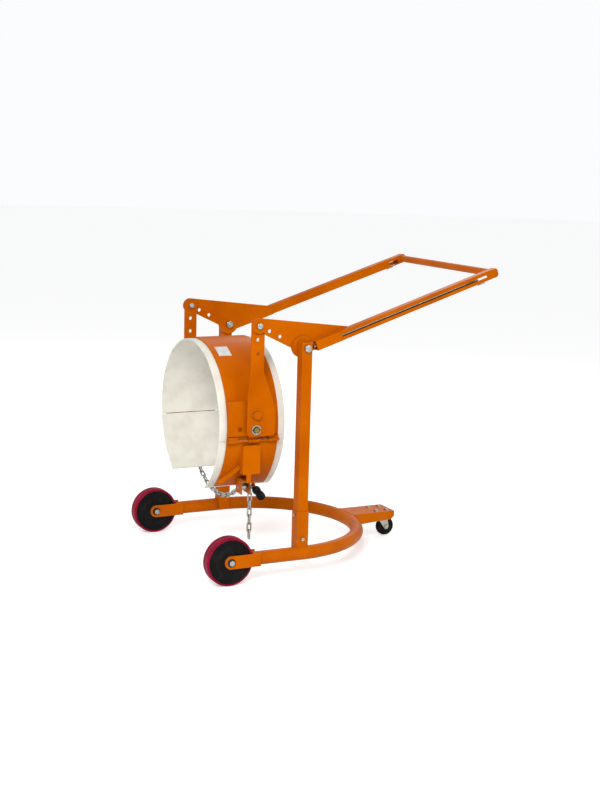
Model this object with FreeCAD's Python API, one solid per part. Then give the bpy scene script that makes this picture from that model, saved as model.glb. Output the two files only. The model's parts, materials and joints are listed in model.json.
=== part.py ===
import FreeCAD, Part
import math
import os

"""Drum dolly: a bent-tube hoop on two front wheels and a rear caster, two posts carrying a
lifting lever, and a two-part drum holder hung from the lever on two trunnion hangers.

Millimetres; X lateral (left = +X as seen by the operator), Y rearward, Z up, floor at Z = 0,
trunnions in the plane Y = 0.  The export moves the origin to the middle of the machine's length."""

V = FreeCAD.Vector
AX, AY, AZ = V(1, 0, 0), V(0, 1, 0), V(0, 0, 1)
ORIGIN = V(0, 0, 0)

# Running fits
FIT = 0.05
TOUCH = 0.02

# Hex hardware: shank radius, across flats, head height, nut height
M8 = (4.0, 13.0, 5.3, 6.5)
M10 = (5.0, 14.0, 4.0, 6.0)
M12 = (6.0, 19.0, 7.0, 11.0)
M16 = (8.0, 24.0, 10.0, 13.0)
THREAD_PROUD = 2.5
WASHER_T, WASHER_R, TIP_WASHER_R = 2.0, 14.5, 12.0

# Trunnion axis and the holder wrapped around the drum
AXIS_Z = 552.0
LINER_R, LINER_T = 288.0, 5.0
SHELL_R, SHELL_T = 293.0, 5.0
SHELL_OUT = SHELL_R + SHELL_T
LINER_HALF, BAND_HALF = 131.0, 101.0
SHELL_END_DEG, LINER_LAP_DEG = -8.0, 0.4
FLAP_TOP_DEG, FLAP_END_DEG = -9.0, -52.0
LINER_TOP_DEG, LINER_END_DEG = -8.9, -56.0

# Flap hinge
HINGE_X, HINGE_DZ = 303.0, -44.0
KNUCKLE_R, HINGE_PIN_R = 7.0, 4.0
KNUCKLES, KNUCKLE_GAP = 5, 0.6
LEAF_IN, LEAF_OUT, LEAF_LEN = 295.0, 304.0, 16.0
KNUCKLE_ROOM, LEAF_ROOM = 0.5, 4.5
HINGE_PROUD, HINGE_HEAD = 3.0, 2.0

# Lock box on the shell side, with two pin holes at the lock radius
BOX_OUT, BOX_WALL, BOX_IN = 306.0, 4.0, 263.0
BOX_Y0, BOX_Y1 = -100.0, 62.0
BOX_DZ0, BOX_DZ1 = -24.0, 104.0
LOCK_RADIUS = 55.0
LOCK_PIN_R = 9.0

# Trunnion
TRUNNION_R, CLIP_GROOVE = 10.0, 1.0
BOSS_R, BOSS_OUT = 21.0, 317.5
TRUNNION_IN, TRUNNION_OUT = 299.0, 333.0
BUSH_R = 13.0
THRUST_R, THRUST_T, THRUST_GAP = 18.0, 2.3, 0.3
CLIP_R, CLIP_T, CLIP_X = 13.5, 1.6, 329.8
CLIP_EAR, CLIP_EAR_HALF, CLIP_MOUTH_HALF = 4.0, 2.0, 3.0

# Hangers
HANGER_IN, HANGER_OUT = 319.0, 327.0
HANGER_TOP_Z, TIP_Z = 951.0, 932.0
HANGER_HALF = 25.0
HANGER_FLARE_Z, HANGER_WAIST_Z = 650.0, 765.0
HANGER_FRONT, HANGER_REAR = -36.0, 76.0
HANGER_BOTTOM_DZ = -24.0
HANGER_CORNER = 14.0
FLARE_RISE, FLARE_RUN, FLARE_DROP = 8.0, 12.0, 30.0
FRONT_STEP, FRONT_TAPER = 20.0, 40.0
SPARE_HOLE_R = 7.0
HANGER_HOLES_Z = (881.0, 830.0)

# Spring lock plunger on each hanger
PLUNGER_HOUSING_R, PLUNGER_HOUSING_T = 21.0, 3.0
PLUNGER_KNOB_R, PLUNGER_KNOB_T = 15.0, 4.0
PLUNGER_GAP, PLUNGER_CLEAR = 4.5, 0.8
EAR_HALF, EAR_REACH, EAR_T = 4.0, 20.0, 3.0

# Lifting lever
PIVOT_Y, PIVOT_Z = 170.0, 852.0
LEVER_IN, LEVER_OUT = 329.0, 335.0
LEVER_NOSE_R, LEVER_LOBE_R = 28.0, 40.0
LEVER_TOP_A, LEVER_TOP_B = (3.0, 959.8), (358.0, 920.0)
LEVER_LOW_A, LEVER_LOW_B = (28.0, 897.0), (128.0, 849.0)
LEVER_HOLES = ((41.0, 912.0), (83.0, 891.0))
LEVER_TAIL_Y, LEVER_THROAT_Y = 364.0, 190.0
LEVER_HUB_R, LEVER_HUB_IN, LEVER_BORE_R = 22.0, 327.0, 11.0
PIN_R, TIP_PIN_R = M16[0], M12[0]
NUT_GAP = 0.5

# Handle arms: lipped channels along the arm line
ARM_SLOPE = 0.335
ARM_REF = (487.0, 945.0)
ARM_START_Y, ARM_END_Y = 219.0, 992.0
ARM_DEPTH, ARM_WALL = 35.0, 3.0
ARM_OUT = 361.0
ARM_END_ROUND = 12.0
ARM_SLOT, SLOT_START_Y = 9.0, 322.0
COVER_T = 2.0
TRIGGER_ROOM, TRIGGER_SIDE = 22.0, 1.0
WINDOW_Y0, WINDOW_Y1, WINDOW_H = 911.0, 944.0, 9.0
SIGHT_Y0, SIGHT_Y1, SIGHT_LOW, SIGHT_HIGH = 915.0, 957.0, -14.0, 4.0
CROSSBAR_Y, CROSSBAR_R, CROSSBAR_WALL = 975.0, 14.0, 2.5

# Handle release
ROD_R, ROD_X = 4.0, 351.5
ROD_END_Y = 906.0
LATCH_X0, LATCH_X1, LATCH_H, LATCH_LEN = 338.5, 356.0, 6.0, 44.0
LATCH_TIP, LATCH_STROKE = 44.0, 7.0
LEVER_STOPS_DEG = (-15.0, 0.0, 36.0)
TRIGGER_X0, TRIGGER_X1 = 344.0, 356.0
TRIGGER_T, TRIGGER_LEN, TRIGGER_DROP, TRIGGER_TOP = 4.0, 30.0, 24.0, 6.0
SPRING_R, SPRING_WIRE, SPRING_COILS, SPRING_PITCH = 5.4, 0.9, 9, 4.0
SPRING_SETBACK = 16.0
NOTCH_PLAY = 0.5

# Posts and their sockets
POST_Y, POST_IN, POST_SIDE, POST_WALL = 170.0, 343.0, 40.0, 3.0
POST_BOTTOM_Z, POST_TOP_Z = 122.0, 873.0
SOCKET_WALL, SOCKET_GAP, SOCKET_TOP_Z, SOCKET_BASE_Z = 2.8, 0.2, 245.0, 76.0
SOCKET_BOLT_SIDE_Z, SOCKET_BOLT_FRONT_Z = 141.0, 230.0
LATCH_DISC_R, LATCH_DISC_IN = 40.0, 336.0

# Base hoop
TUBE_R, TUBE_WALL = 25.5, 3.0
HOOP_HALF, HOOP_Z, HOOP_BEND_Y, HOOP_FRONT_Y = 382.0, 88.0, 175.0, -30.0

# Front wheels
AXLE_Y, AXLE_Z = -126.0, 90.0
WHEEL_R, CORE_R, WHEEL_HALF = 90.0, 82.0, 23.0
WHEEL_DISH, WHEEL_DISH_R0, WHEEL_DISH_R1 = 4.0, 27.0, 70.0
TREAD_ROUND = 4.0
SLEEVE_R = 12.0
RING_R = 15.5
FORK_T, FORK_H, FORK_REAR_Y = 6.0, 48.0, -9.0
AXLE_R = M12[0]

# Rear leg and caster
LEG_HALF, LEG_TOP_Z, LEG_T, LEG_END_Y = 56.0, 113.0, 5.0, 755.0
LEG_DEPTH_FRONT, LEG_DEPTH_REAR, LEG_FRONT_Y = 48.0, 34.0, 520.0
LEG_CHAMFER = 13.0
DRAIN_R, DRAIN_Y = 4.0, 597.0
SWIVEL_Y, TRAIL = 706.0, 37.0
CASTER_R, CASTER_HALF, CASTER_HUB_R = 37.5, 12.0, 22.0
CASTER_AXLE_R = M10[0]
PLATE_X, PLATE_Y, PLATE_T = 45.0, 34.0, 4.0
PLATE_BOLT_X, PLATE_BOLT_Y = 33.0, 24.0
RACE_R, RACE_T = 26.0, 9.0
CROWN_T = 4.0
YOKE_T, YOKE_GAP = 3.0, 2.0
YOKE_FRONT, YOKE_EYE = 18.0, 11.0
KINGPIN_R, KINGPIN_HEAD = 6.0, 4.0
SPACER_GAP = 0.3

# Ratchet group on the left flap
BRACKET_Y, BRACKET_HALF = -4.0, 34.0
BRACKET_TOP_DZ, BRACKET_BOTTOM_DZ = -62.0, -170.0
BRACKET_T, BRACKET_ROOT = 5.0, 193.0
BRACE_WIDTH, BRACE_PROUD, BRACE_HIGH_DEG, BRACE_LOW_DEG = 26.0, 9.0, -28.0, -43.0
RATCHET_X, RATCHET_Z, RATCHET_Y = 233.0, 318.0, -6.0
RATCHET_IN_HALF, RATCHET_T = 14.0, 3.0
RATCHET_X0, RATCHET_X1, RATCHET_Z0, RATCHET_Z1 = 206.0, 258.0, 296.0, 354.0
TONGUE_LAP, SHAFT_PROUD, SPOOL_GAP = 8.0, 3.0, 0.5
SPOOL_R, SHAFT_R = 11.0, 5.0
GEAR_R, GEAR_T, GEAR_TEETH = 17.0, 3.0, 12
TOOTH_DEPTH, TOOTH_GAP_HALF = 3.5, 1.6
HANDLE_Y0, HANDLE_Y1 = 33.0, 39.0
HANDLE_DEG = 17.0
HANDLE_EYE_R, HANDLE_LEN, HANDLE_H = 13.0, 74.0, 12.0
GRIP_R, GRIP_START, GRIP_LEN = 14.0, 20.0, 62.0
GRIP_WAIST, GRIP_BULB = 0.8, 0.38
PAWL_X, PAWL_Z, PAWL_PIN_R, PAWL_R = 246.0, 341.0, 3.0, 6.0
NOSE_LEN, NOSE_H, NOSE_GAP, PAWL_PIN_PROUD = 16.0, 5.0, 0.4, 1.5

# Chain
WIRE_R, LINK_PITCH, LINK_WIDTH = 3.0, 28.8, 20.0
LINK_PLAY = 0.3
CHAIN_RADIUS, CHAIN_START_DEG, CHAIN_LINKS = 311.0, -48.2, 16
TAIL_Y, TAIL_TOP_Z, TAIL_LINKS = 22.0, 307.0, 7
NECK_R, NECK_HALF = 3.4, 4.5
ANCHOR_X, ANCHOR_T, ANCHOR_HALF, ANCHOR_SLOT = 182.5, 4.0, 15.0, 3.75
ANCHOR_Z, ANCHOR_TOP_Z, SEAT_T = 309.0, 347.0, 2.5
SEAT_LOW_DEG, SEAT_HIGH_DEG = -51.5, -40.0

# Blank plate on the saddle
LABEL_LOW_DEG, LABEL_HIGH_DEG = 57.0, 68.0
LABEL_Y0, LABEL_Y1, LABEL_T = -80.0, -30.0, 0.8


def box(x0, x1, y0, y1, z0, z1):
    return Part.makeBox(x1 - x0, y1 - y0, z1 - z0, V(x0, y0, z0))


def rod(point, axis, radius, length):
    return Part.makeCylinder(radius, length, point, axis)


def ring(point, axis, outer, inner, length):
    return rod(point, axis, outer, length).cut(rod(point, axis, inner, length))


def hexagon(point, axis, across, length):
    """Hexagonal prism, across flats, from point along axis."""
    radius = across / math.sqrt(3.0)
    corners = [V(radius * math.cos(math.radians(60 * i)), radius * math.sin(math.radians(60 * i)), 0)
               for i in range(7)]
    prism = Part.Face(Part.makePolygon(corners)).extrude(AZ * length)
    prism.Placement = FreeCAD.Placement(point, FreeCAD.Rotation(AZ, axis))
    return prism


def mirrored(shape):
    return shape.mirror(ORIGIN, AX)


def turned(shape, point, axis, degrees):
    moved = shape.copy()
    moved.rotate(point, axis, degrees)
    return moved


def plate_yz(points, x0, x1):
    """Flat plate from a closed outline given as (y, z) points."""
    corners = [V(x0, y, z) for y, z in points]
    corners.append(corners[0])
    return Part.Face(Part.makePolygon(corners)).extrude(AX * (x1 - x0))


def axis_point(x, dz=0.0, y=0.0):
    return V(x, y, AXIS_Z + dz)


def around_drum(radius, degrees, y=0.0):
    angle = math.radians(degrees)
    return V(radius * math.cos(angle), y, AXIS_Z + radius * math.sin(angle))


def band(inner, outer, start_deg, end_deg, half_width):
    """Part of a cylinder wall about the drum axis, from start to end angle above +X."""
    p = [around_drum(inner, start_deg, -half_width), around_drum(outer, start_deg, -half_width)]
    p += [around_drum(outer, end_deg, -half_width), around_drum(inner, end_deg, -half_width)]
    middle = 0.5 * (start_deg + end_deg)
    edges = [Part.makeLine(p[0], p[1])]
    edges.append(Part.Arc(p[1], around_drum(outer, middle, -half_width), p[2]).toShape())
    edges.append(Part.makeLine(p[2], p[3]))
    edges.append(Part.Arc(p[3], around_drum(inner, middle, -half_width), p[0]).toShape())
    return Part.Face(Part.Wire(edges)).extrude(AY * 2.0 * half_width)


def bolt(point, axis, size, grip):
    """Hex bolt: head against point, shank along axis through the grip, the nut and a little beyond."""
    radius, across, head, nut_height = size
    shank = rod(point, axis, radius, grip + nut_height + THREAD_PROUD)
    return hexagon(point - axis * head, axis, across, head).fuse(shank).removeSplitter()


def nut(point, axis, size):
    radius, across, head, height = size
    return hexagon(point, axis, across, height).cut(rod(point, axis, radius, height))


def bolt_and_nut(point, axis, size, grip):
    return [bolt(point, axis, size, grip), nut(point + axis * grip, axis, size)]


def drum_cylinder(radius):
    return rod(V(0, -LINER_HALF * 2, AXIS_Z), AY, radius, LINER_HALF * 4)


# ---------------------------------------------------------------- base

def hoop_solid(radius):
    """Straight legs joined by a half-circle bend."""
    circle = Part.Wire(Part.makeCircle(radius, V(HOOP_HALF, HOOP_BEND_Y, HOOP_Z), AY))
    bend = Part.Face(circle).revolve(V(0, HOOP_BEND_Y, HOOP_Z), AZ, 180)
    solid = bend
    for x in (HOOP_HALF, -HOOP_HALF):
        solid = solid.fuse(rod(V(x, HOOP_FRONT_Y, HOOP_Z), AY, radius, HOOP_BEND_Y - HOOP_FRONT_Y))
    return solid.removeSplitter()


def base_hoop():
    hoop = hoop_solid(TUBE_R).cut(hoop_solid(TUBE_R - TUBE_WALL))
    for x in (HOOP_HALF, -HOOP_HALF):
        hoop = hoop.fuse(rod(V(x, HOOP_FRONT_Y, HOOP_Z), AY, TUBE_R - TUBE_WALL, TUBE_WALL))
    return hoop


def fork_plates():
    """Two strips welded along the tube end, carrying the wheel between them."""
    plates = []
    for x0 in (HOOP_HALF + TUBE_R, HOOP_HALF - TUBE_R - FORK_T):
        half = FORK_H / 2.0
        strip = box(x0, x0 + FORK_T, AXLE_Y, FORK_REAR_Y, AXLE_Z - half, AXLE_Z + half)
        strip = strip.fuse(rod(V(x0, AXLE_Y, AXLE_Z), AX, half, FORK_T))
        plates.append(strip.cut(rod(V(x0, AXLE_Y, AXLE_Z), AX, AXLE_R, FORK_T)).removeSplitter())
    return plates


def socket_bolt_bores():
    middle = POST_IN + POST_SIDE / 2.0
    side = rod(V(POST_IN - POST_SIDE, POST_Y, SOCKET_BOLT_SIDE_Z), AX, M8[0], 3 * POST_SIDE)
    front = rod(V(middle, POST_Y - POST_SIDE, SOCKET_BOLT_FRONT_Z), AY, M8[0], 2 * POST_SIDE)
    return side.fuse(front)


def square_tube(centre_x, centre_y, side, wall, z0, z1):
    h = side / 2.0
    i = h - wall
    outer = box(centre_x - h, centre_x + h, centre_y - h, centre_y + h, z0, z1)
    return outer.cut(box(centre_x - i, centre_x + i, centre_y - i, centre_y + i, z0, z1))


def post_socket(hoop):
    side = POST_SIDE + 2 * (SOCKET_GAP + SOCKET_WALL)
    tube = square_tube(POST_IN + POST_SIDE / 2.0, POST_Y, side, SOCKET_WALL, SOCKET_BASE_Z, SOCKET_TOP_Z)
    tube = tube.cut(hoop).cut(socket_bolt_bores())
    return max(tube.Solids, key=lambda s: s.Volume)


def post():
    tube = square_tube(POST_IN + POST_SIDE / 2.0, POST_Y, POST_SIDE, POST_WALL, POST_BOTTOM_Z, POST_TOP_Z)
    tube = tube.cut(socket_bolt_bores())
    return tube.cut(rod(V(POST_IN, PIVOT_Y, PIVOT_Z), AX, PIN_R, POST_SIDE))


def socket_fasteners():
    """Two M8 bolts and nuts through each socket, one sideways and one front to rear."""
    half = POST_SIDE / 2.0 + SOCKET_GAP + SOCKET_WALL
    middle = POST_IN + POST_SIDE / 2.0
    side = bolt_and_nut(V(middle + half, POST_Y, SOCKET_BOLT_SIDE_Z), -AX, M8, 2 * half)
    return side + bolt_and_nut(V(middle, POST_Y - half, SOCKET_BOLT_FRONT_Z), AY, M8, 2 * half)


def latch_disc():
    """Notched disc welded to the post's inner face; the latch bolt is drawn just out of its notch."""
    width = POST_IN - LATCH_DISC_IN
    centre = V(LATCH_DISC_IN, PIVOT_Y, PIVOT_Z)
    disc = rod(centre, AX, LATCH_DISC_R, width).cut(rod(centre, AX, PIN_R, width))
    notch = latch_block(LATCH_TIP - LATCH_STROKE - NOTCH_PLAY, NOTCH_PLAY)
    for degrees in LEVER_STOPS_DEG:
        disc = disc.cut(turned(notch, centre, AX, degrees))
    return disc


def pivot_fasteners():
    """M16 bolt from outside the post, through the lever hub, with a washer under its head."""
    face = POST_IN + POST_SIDE
    start = V(face + WASHER_T, PIVOT_Y, PIVOT_Z)
    washer = ring(V(face, PIVOT_Y, PIVOT_Z), AX, WASHER_R, PIN_R, WASHER_T)
    return bolt_and_nut(start, -AX, M16, start.x - LEVER_HUB_IN + NUT_GAP) + [washer]


# ---------------------------------------------------------------- front wheels

def wheel_solid(x_centre, radius, half, inner):
    return ring(V(x_centre - half, AXLE_Y, AXLE_Z), AX, radius, inner, 2 * half)


def wheel_tread():
    """Polyurethane tyre with rounded shoulders."""
    tread = wheel_solid(HOOP_HALF, WHEEL_R, WHEEL_HALF, CORE_R)
    return tread.makeFillet(TREAD_ROUND, rim_edges(tread, WHEEL_R))


def wheel_core():
    """Black core with a shallow dished web on both faces."""
    core = wheel_solid(HOOP_HALF, CORE_R, WHEEL_HALF, SLEEVE_R)
    for x in (HOOP_HALF - WHEEL_HALF, HOOP_HALF + WHEEL_HALF - WHEEL_DISH):
        core = core.cut(ring(V(x, AXLE_Y, AXLE_Z), AX, WHEEL_DISH_R1, WHEEL_DISH_R0, WHEEL_DISH))
    return core


def wheel_sleeve():
    """Bearing sleeve that turns on the axle bolt."""
    half = TUBE_R - SPACER_GAP
    return ring(V(HOOP_HALF - half, AXLE_Y, AXLE_Z), AX, SLEEVE_R, AXLE_R + FIT, 2 * half)


def axle_fasteners():
    start = V(HOOP_HALF + TUBE_R + FORK_T + WASHER_T, AXLE_Y, AXLE_Z)
    return bolt_and_nut(start, -AX, M12, 2 * (TUBE_R + FORK_T) + WASHER_T)


def axle_ring():
    return ring(V(HOOP_HALF + TUBE_R + FORK_T, AXLE_Y, AXLE_Z), AX, RING_R, AXLE_R, WASHER_T)


# ---------------------------------------------------------------- rear leg and caster

def caster_leg(hoop):
    """Inverted channel welded behind the hoop, its flanges tapering to the rear."""
    top = box(-LEG_HALF, LEG_HALF, LEG_FRONT_Y, LEG_END_Y, LEG_TOP_Z - LEG_T, LEG_TOP_Z)
    front_z, rear_z = LEG_TOP_Z - LEG_DEPTH_FRONT, LEG_TOP_Z - LEG_DEPTH_REAR
    outline = [(LEG_FRONT_Y, front_z), (LEG_END_Y - LEG_CHAMFER, rear_z), (LEG_END_Y, rear_z + LEG_CHAMFER)]
    outline += [(LEG_END_Y, LEG_TOP_Z - LEG_T), (LEG_FRONT_Y, LEG_TOP_Z - LEG_T)]
    leg = top.fuse(plate_yz(outline, LEG_HALF - LEG_T, LEG_HALF))
    leg = leg.fuse(plate_yz(outline, -LEG_HALF, LEG_T - LEG_HALF)).removeSplitter().cut(hoop)
    leg = max(leg.Solids, key=lambda s: s.CenterOfMass.y * s.Volume)
    return leg.cut(caster_bolt_bores()).cut(rod(V(0, DRAIN_Y, 0), AZ, DRAIN_R, LEG_TOP_Z))


def caster_bolt_points():
    return [(x, SWIVEL_Y + y) for x in (-PLATE_BOLT_X, PLATE_BOLT_X) for y in (-PLATE_BOLT_Y, PLATE_BOLT_Y)]


def caster_bolt_bores():
    bores = [rod(V(x, y, 0), AZ, M8[0], LEG_TOP_Z) for x, y in caster_bolt_points()]
    return bores[0].multiFuse(bores[1:])


def caster_plate():
    """Top plate with the pressed swivel race under it."""
    top = LEG_TOP_Z - LEG_T
    plate = box(-PLATE_X, PLATE_X, SWIVEL_Y - PLATE_Y, SWIVEL_Y + PLATE_Y, top - PLATE_T, top)
    plate = plate.fuse(rod(V(0, SWIVEL_Y, top - PLATE_T - RACE_T), AZ, RACE_R, RACE_T))
    return plate.cut(caster_bolt_bores()).cut(rod(V(0, SWIVEL_Y, 0), AZ, KINGPIN_R, LEG_TOP_Z))


def kingpin():
    """Rivet through the race; its lower head retains the fork crown."""
    crown_top = LEG_TOP_Z - LEG_T - PLATE_T - RACE_T
    head_z = crown_top - CROWN_T - 2 * SPACER_GAP
    pin = rod(V(0, SWIVEL_Y, head_z), AZ, KINGPIN_R, LEG_TOP_Z - LEG_T - head_z)
    head = rod(V(0, SWIVEL_Y, head_z - KINGPIN_HEAD), AZ, KINGPIN_R + KINGPIN_HEAD, KINGPIN_HEAD)
    return pin.fuse(head).removeSplitter()


def caster_fork():
    """Pressed yoke: a round crown and two triangular legs down to the axle."""
    crown_top = LEG_TOP_Z - LEG_T - PLATE_T - RACE_T - SPACER_GAP
    crown_low = crown_top - CROWN_T
    yoke = rod(V(0, SWIVEL_Y, crown_low), AZ, RACE_R, CROWN_T)
    axle_y = SWIVEL_Y + TRAIL
    leg_in = CASTER_HALF + YOKE_GAP
    yoke = yoke.fuse(box(-leg_in - YOKE_T, leg_in + YOKE_T, SWIVEL_Y, axle_y, crown_low, crown_top))
    eye_low = CASTER_R - YOKE_EYE
    outline = [(SWIVEL_Y - YOKE_FRONT, crown_top), (axle_y, crown_top), (axle_y + YOKE_EYE, CASTER_R)]
    outline += [(axle_y + YOKE_EYE / 2.0, eye_low), (axle_y - YOKE_EYE / 2.0, eye_low)]
    for x0 in (leg_in, -leg_in - YOKE_T):
        yoke = yoke.fuse(plate_yz(outline, x0, x0 + YOKE_T))
    yoke = yoke.cut(rod(V(0, SWIVEL_Y, 0), AZ, KINGPIN_R + FIT, LEG_TOP_Z))
    return yoke.cut(rod(V(-LEG_HALF, axle_y, CASTER_R), AX, CASTER_AXLE_R, 2 * LEG_HALF)).removeSplitter()


def rim_edges(shape, radius):
    return [e for e in shape.Edges if hasattr(e.Curve, "Radius") and abs(e.Curve.Radius - radius) < FIT]


def caster_ring(outer, inner, half):
    return ring(V(-half, SWIVEL_Y + TRAIL, CASTER_R), AX, outer, inner, 2 * half)


def caster_tyre():
    tyre = caster_ring(CASTER_R, CASTER_HUB_R, CASTER_HALF)
    return tyre.makeFillet(TREAD_ROUND, rim_edges(tyre, CASTER_R))


def caster_hub():
    return caster_ring(CASTER_HUB_R, CASTER_AXLE_R + FIT, CASTER_HALF + YOKE_GAP - SPACER_GAP)


def caster_axle():
    reach = CASTER_HALF + YOKE_GAP + YOKE_T
    return bolt_and_nut(V(reach, SWIVEL_Y + TRAIL, CASTER_R), -AX, M10, 2 * reach)


def caster_fasteners():
    pieces = []
    for x, y in caster_bolt_points():
        pieces += bolt_and_nut(V(x, y, LEG_TOP_Z), -AZ, M8, LEG_T + PLATE_T)
    return pieces


# ---------------------------------------------------------------- lifting lever

def arm_angle():
    return math.degrees(math.atan(ARM_SLOPE))


def on_arm(y, x=0.0):
    return V(x, y, ARM_REF[1] + ARM_SLOPE * (y - ARM_REF[0]))


def along_arm(shape, y):
    """Place a shape drawn along +Y at the origin onto the arm line at station y."""
    moved = shape.copy()
    moved.rotate(ORIGIN, AX, arm_angle())
    moved.translate(on_arm(y))
    return moved


def lever_plate():
    """Flat plate: round nose at the tip bolt, round lobe at the pivot, tail behind the arm."""
    lean = math.radians(arm_angle())
    down_y, down_z = ARM_DEPTH / 2.0 * math.sin(lean), ARM_DEPTH / 2.0 * math.cos(lean)
    outline = [LEVER_TOP_A, LEVER_TOP_B]
    for y in (LEVER_TAIL_Y, LEVER_THROAT_Y):
        outline.append((on_arm(y).y + down_y, on_arm(y).z - down_z))
    outline += [LEVER_LOW_B, LEVER_LOW_A, (0.0, TIP_Z)]
    plate = plate_yz(outline, LEVER_IN, LEVER_OUT)
    width = LEVER_OUT - LEVER_IN
    plate = plate.fuse(rod(V(LEVER_IN, 0, TIP_Z), AX, LEVER_NOSE_R, width))
    plate = plate.fuse(rod(V(LEVER_IN, PIVOT_Y, PIVOT_Z), AX, LEVER_LOBE_R, width))
    plate = plate.fuse(rod(V(LEVER_HUB_IN, PIVOT_Y, PIVOT_Z), AX, LEVER_HUB_R, LEVER_IN - LEVER_HUB_IN))
    plate = plate.cut(rod(V(LEVER_HUB_IN, PIVOT_Y, PIVOT_Z), AX, LEVER_BORE_R, LEVER_OUT - LEVER_HUB_IN))
    plate = plate.cut(rod(V(LEVER_IN, 0, TIP_Z), AX, TIP_PIN_R, width))
    for y, z in LEVER_HOLES:
        plate = plate.cut(rod(V(LEVER_IN, y, z), AX, SPARE_HOLE_R, width))
    return plate.removeSplitter()


def lever_bush():
    """Bronze bush pressed in the lever hub, turning on the pivot bolt."""
    return ring(V(LEVER_HUB_IN, PIVOT_Y, PIVOT_Z), AX, LEVER_BORE_R, PIN_R + FIT, LEVER_OUT - LEVER_HUB_IN)


def from_start(y):
    """Distance along the arm from its front end to station y."""
    return (y - ARM_START_Y) / math.cos(math.radians(arm_angle()))


def handle_arm():
    """Channel slotted on its outer face behind a closed cover, with a hand-hole near the crossbar."""
    length, half, wall = from_start(ARM_END_Y), ARM_DEPTH / 2.0, ARM_WALL
    slot_start = from_start(SLOT_START_Y)
    window_start, window_end = from_start(WINDOW_Y0), from_start(WINDOW_Y1)
    sight_start, sight_end = from_start(SIGHT_Y0), from_start(SIGHT_Y1)
    arm = box(LEVER_OUT, ARM_OUT, 0, length, -half, half)
    corners = [e for e in arm.Edges if e.BoundBox.YMin > length - FIT and e.BoundBox.ZLength < FIT]
    arm = arm.makeFillet(ARM_END_ROUND, corners)
    arm = arm.fuse(box(ARM_OUT, ARM_OUT + COVER_T, 0, slot_start, -half, half)).removeSplitter()
    hollow = box(LEVER_OUT + wall, ARM_OUT - wall, 0, window_end, wall - half, half - wall)
    slot = box(ARM_OUT - wall, ARM_OUT, slot_start, window_end, -ARM_SLOT / 2.0, ARM_SLOT / 2.0)
    window = box(ARM_OUT - wall, ARM_OUT, window_start, window_end, -WINDOW_H / 2.0, WINDOW_H / 2.0)
    sight = box(LEVER_OUT, LEVER_OUT + wall, sight_start, sight_end, SIGHT_LOW, SIGHT_HIGH)
    room = box(LEVER_OUT + wall, ARM_OUT - wall, window_start, sight_end, SIGHT_LOW, SIGHT_HIGH)
    trigger_gap = box(TRIGGER_X0 - TRIGGER_SIDE, TRIGGER_X1 + TRIGGER_SIDE, window_start - TRIGGER_ROOM,
                      window_end, -half, wall - half)
    for space in (hollow, slot, window, sight, room, trigger_gap):
        arm = arm.cut(space)
    return along_arm(arm, ARM_START_Y)


def crossbar():
    centre = on_arm(CROSSBAR_Y, -LEVER_OUT)
    return ring(centre, AX, CROSSBAR_R, CROSSBAR_R - CROSSBAR_WALL, 2 * LEVER_OUT)


def latch_block(tip, grow=0.0):
    """Sliding bolt at the front end of the release rod, tip mm from the pivot along the arm."""
    half = LATCH_H / 2.0 + grow
    start = PIVOT_Y + tip * math.cos(math.radians(arm_angle()))
    return along_arm(box(LATCH_X0 - grow, LATCH_X1, 0, LATCH_LEN, -half, half), start)


def release_rod():
    """Latch bolt, long rod and finger trigger of one arm: one sliding piece."""
    lean = math.cos(math.radians(arm_angle()))
    start_y = PIVOT_Y + LATCH_TIP * lean
    length = (ROD_END_Y - start_y) / lean
    shaft = along_arm(rod(V(ROD_X, LATCH_LEN / 2.0, 0), AY, ROD_R, length - LATCH_LEN / 2.0), start_y)
    foot = box(TRIGGER_X0, TRIGGER_X1, 0, TRIGGER_T, -TRIGGER_DROP, TRIGGER_TOP)
    shelf = box(TRIGGER_X0, TRIGGER_X1, 0, TRIGGER_LEN, -TRIGGER_DROP, TRIGGER_T - TRIGGER_DROP)
    trigger = along_arm(foot.fuse(shelf), ROD_END_Y - TRIGGER_T * lean)
    return latch_block(LATCH_TIP).fuse(shaft).fuse(trigger).removeSplitter()


def release_spring():
    """Return spring around the rod, just ahead of the trigger."""
    helix = Part.makeHelix(SPRING_PITCH, SPRING_PITCH * SPRING_COILS, SPRING_R)
    start = V(SPRING_R, 0, 0)
    profile = Part.Wire(Part.makeCircle(SPRING_WIRE, start, AY))
    spring = Part.Wire(helix.Edges).makePipeShell([profile], True, True)
    spring.rotate(ORIGIN, AX, -90)
    spring.translate(V(ROD_X, -SPRING_PITCH * SPRING_COILS - SPRING_SETBACK, 0))
    return along_arm(spring, ROD_END_Y)


def tip_fasteners():
    """M12 bolt on which the hanger swings, with a washer under its head."""
    start = V(LEVER_OUT + WASHER_T, 0, TIP_Z)
    washer = ring(V(LEVER_OUT, 0, TIP_Z), AX, TIP_WASHER_R, TIP_PIN_R, WASHER_T)
    return bolt_and_nut(start, -AX, M12, start.x - HANGER_IN + NUT_GAP) + [washer]


# ---------------------------------------------------------------- hangers

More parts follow.
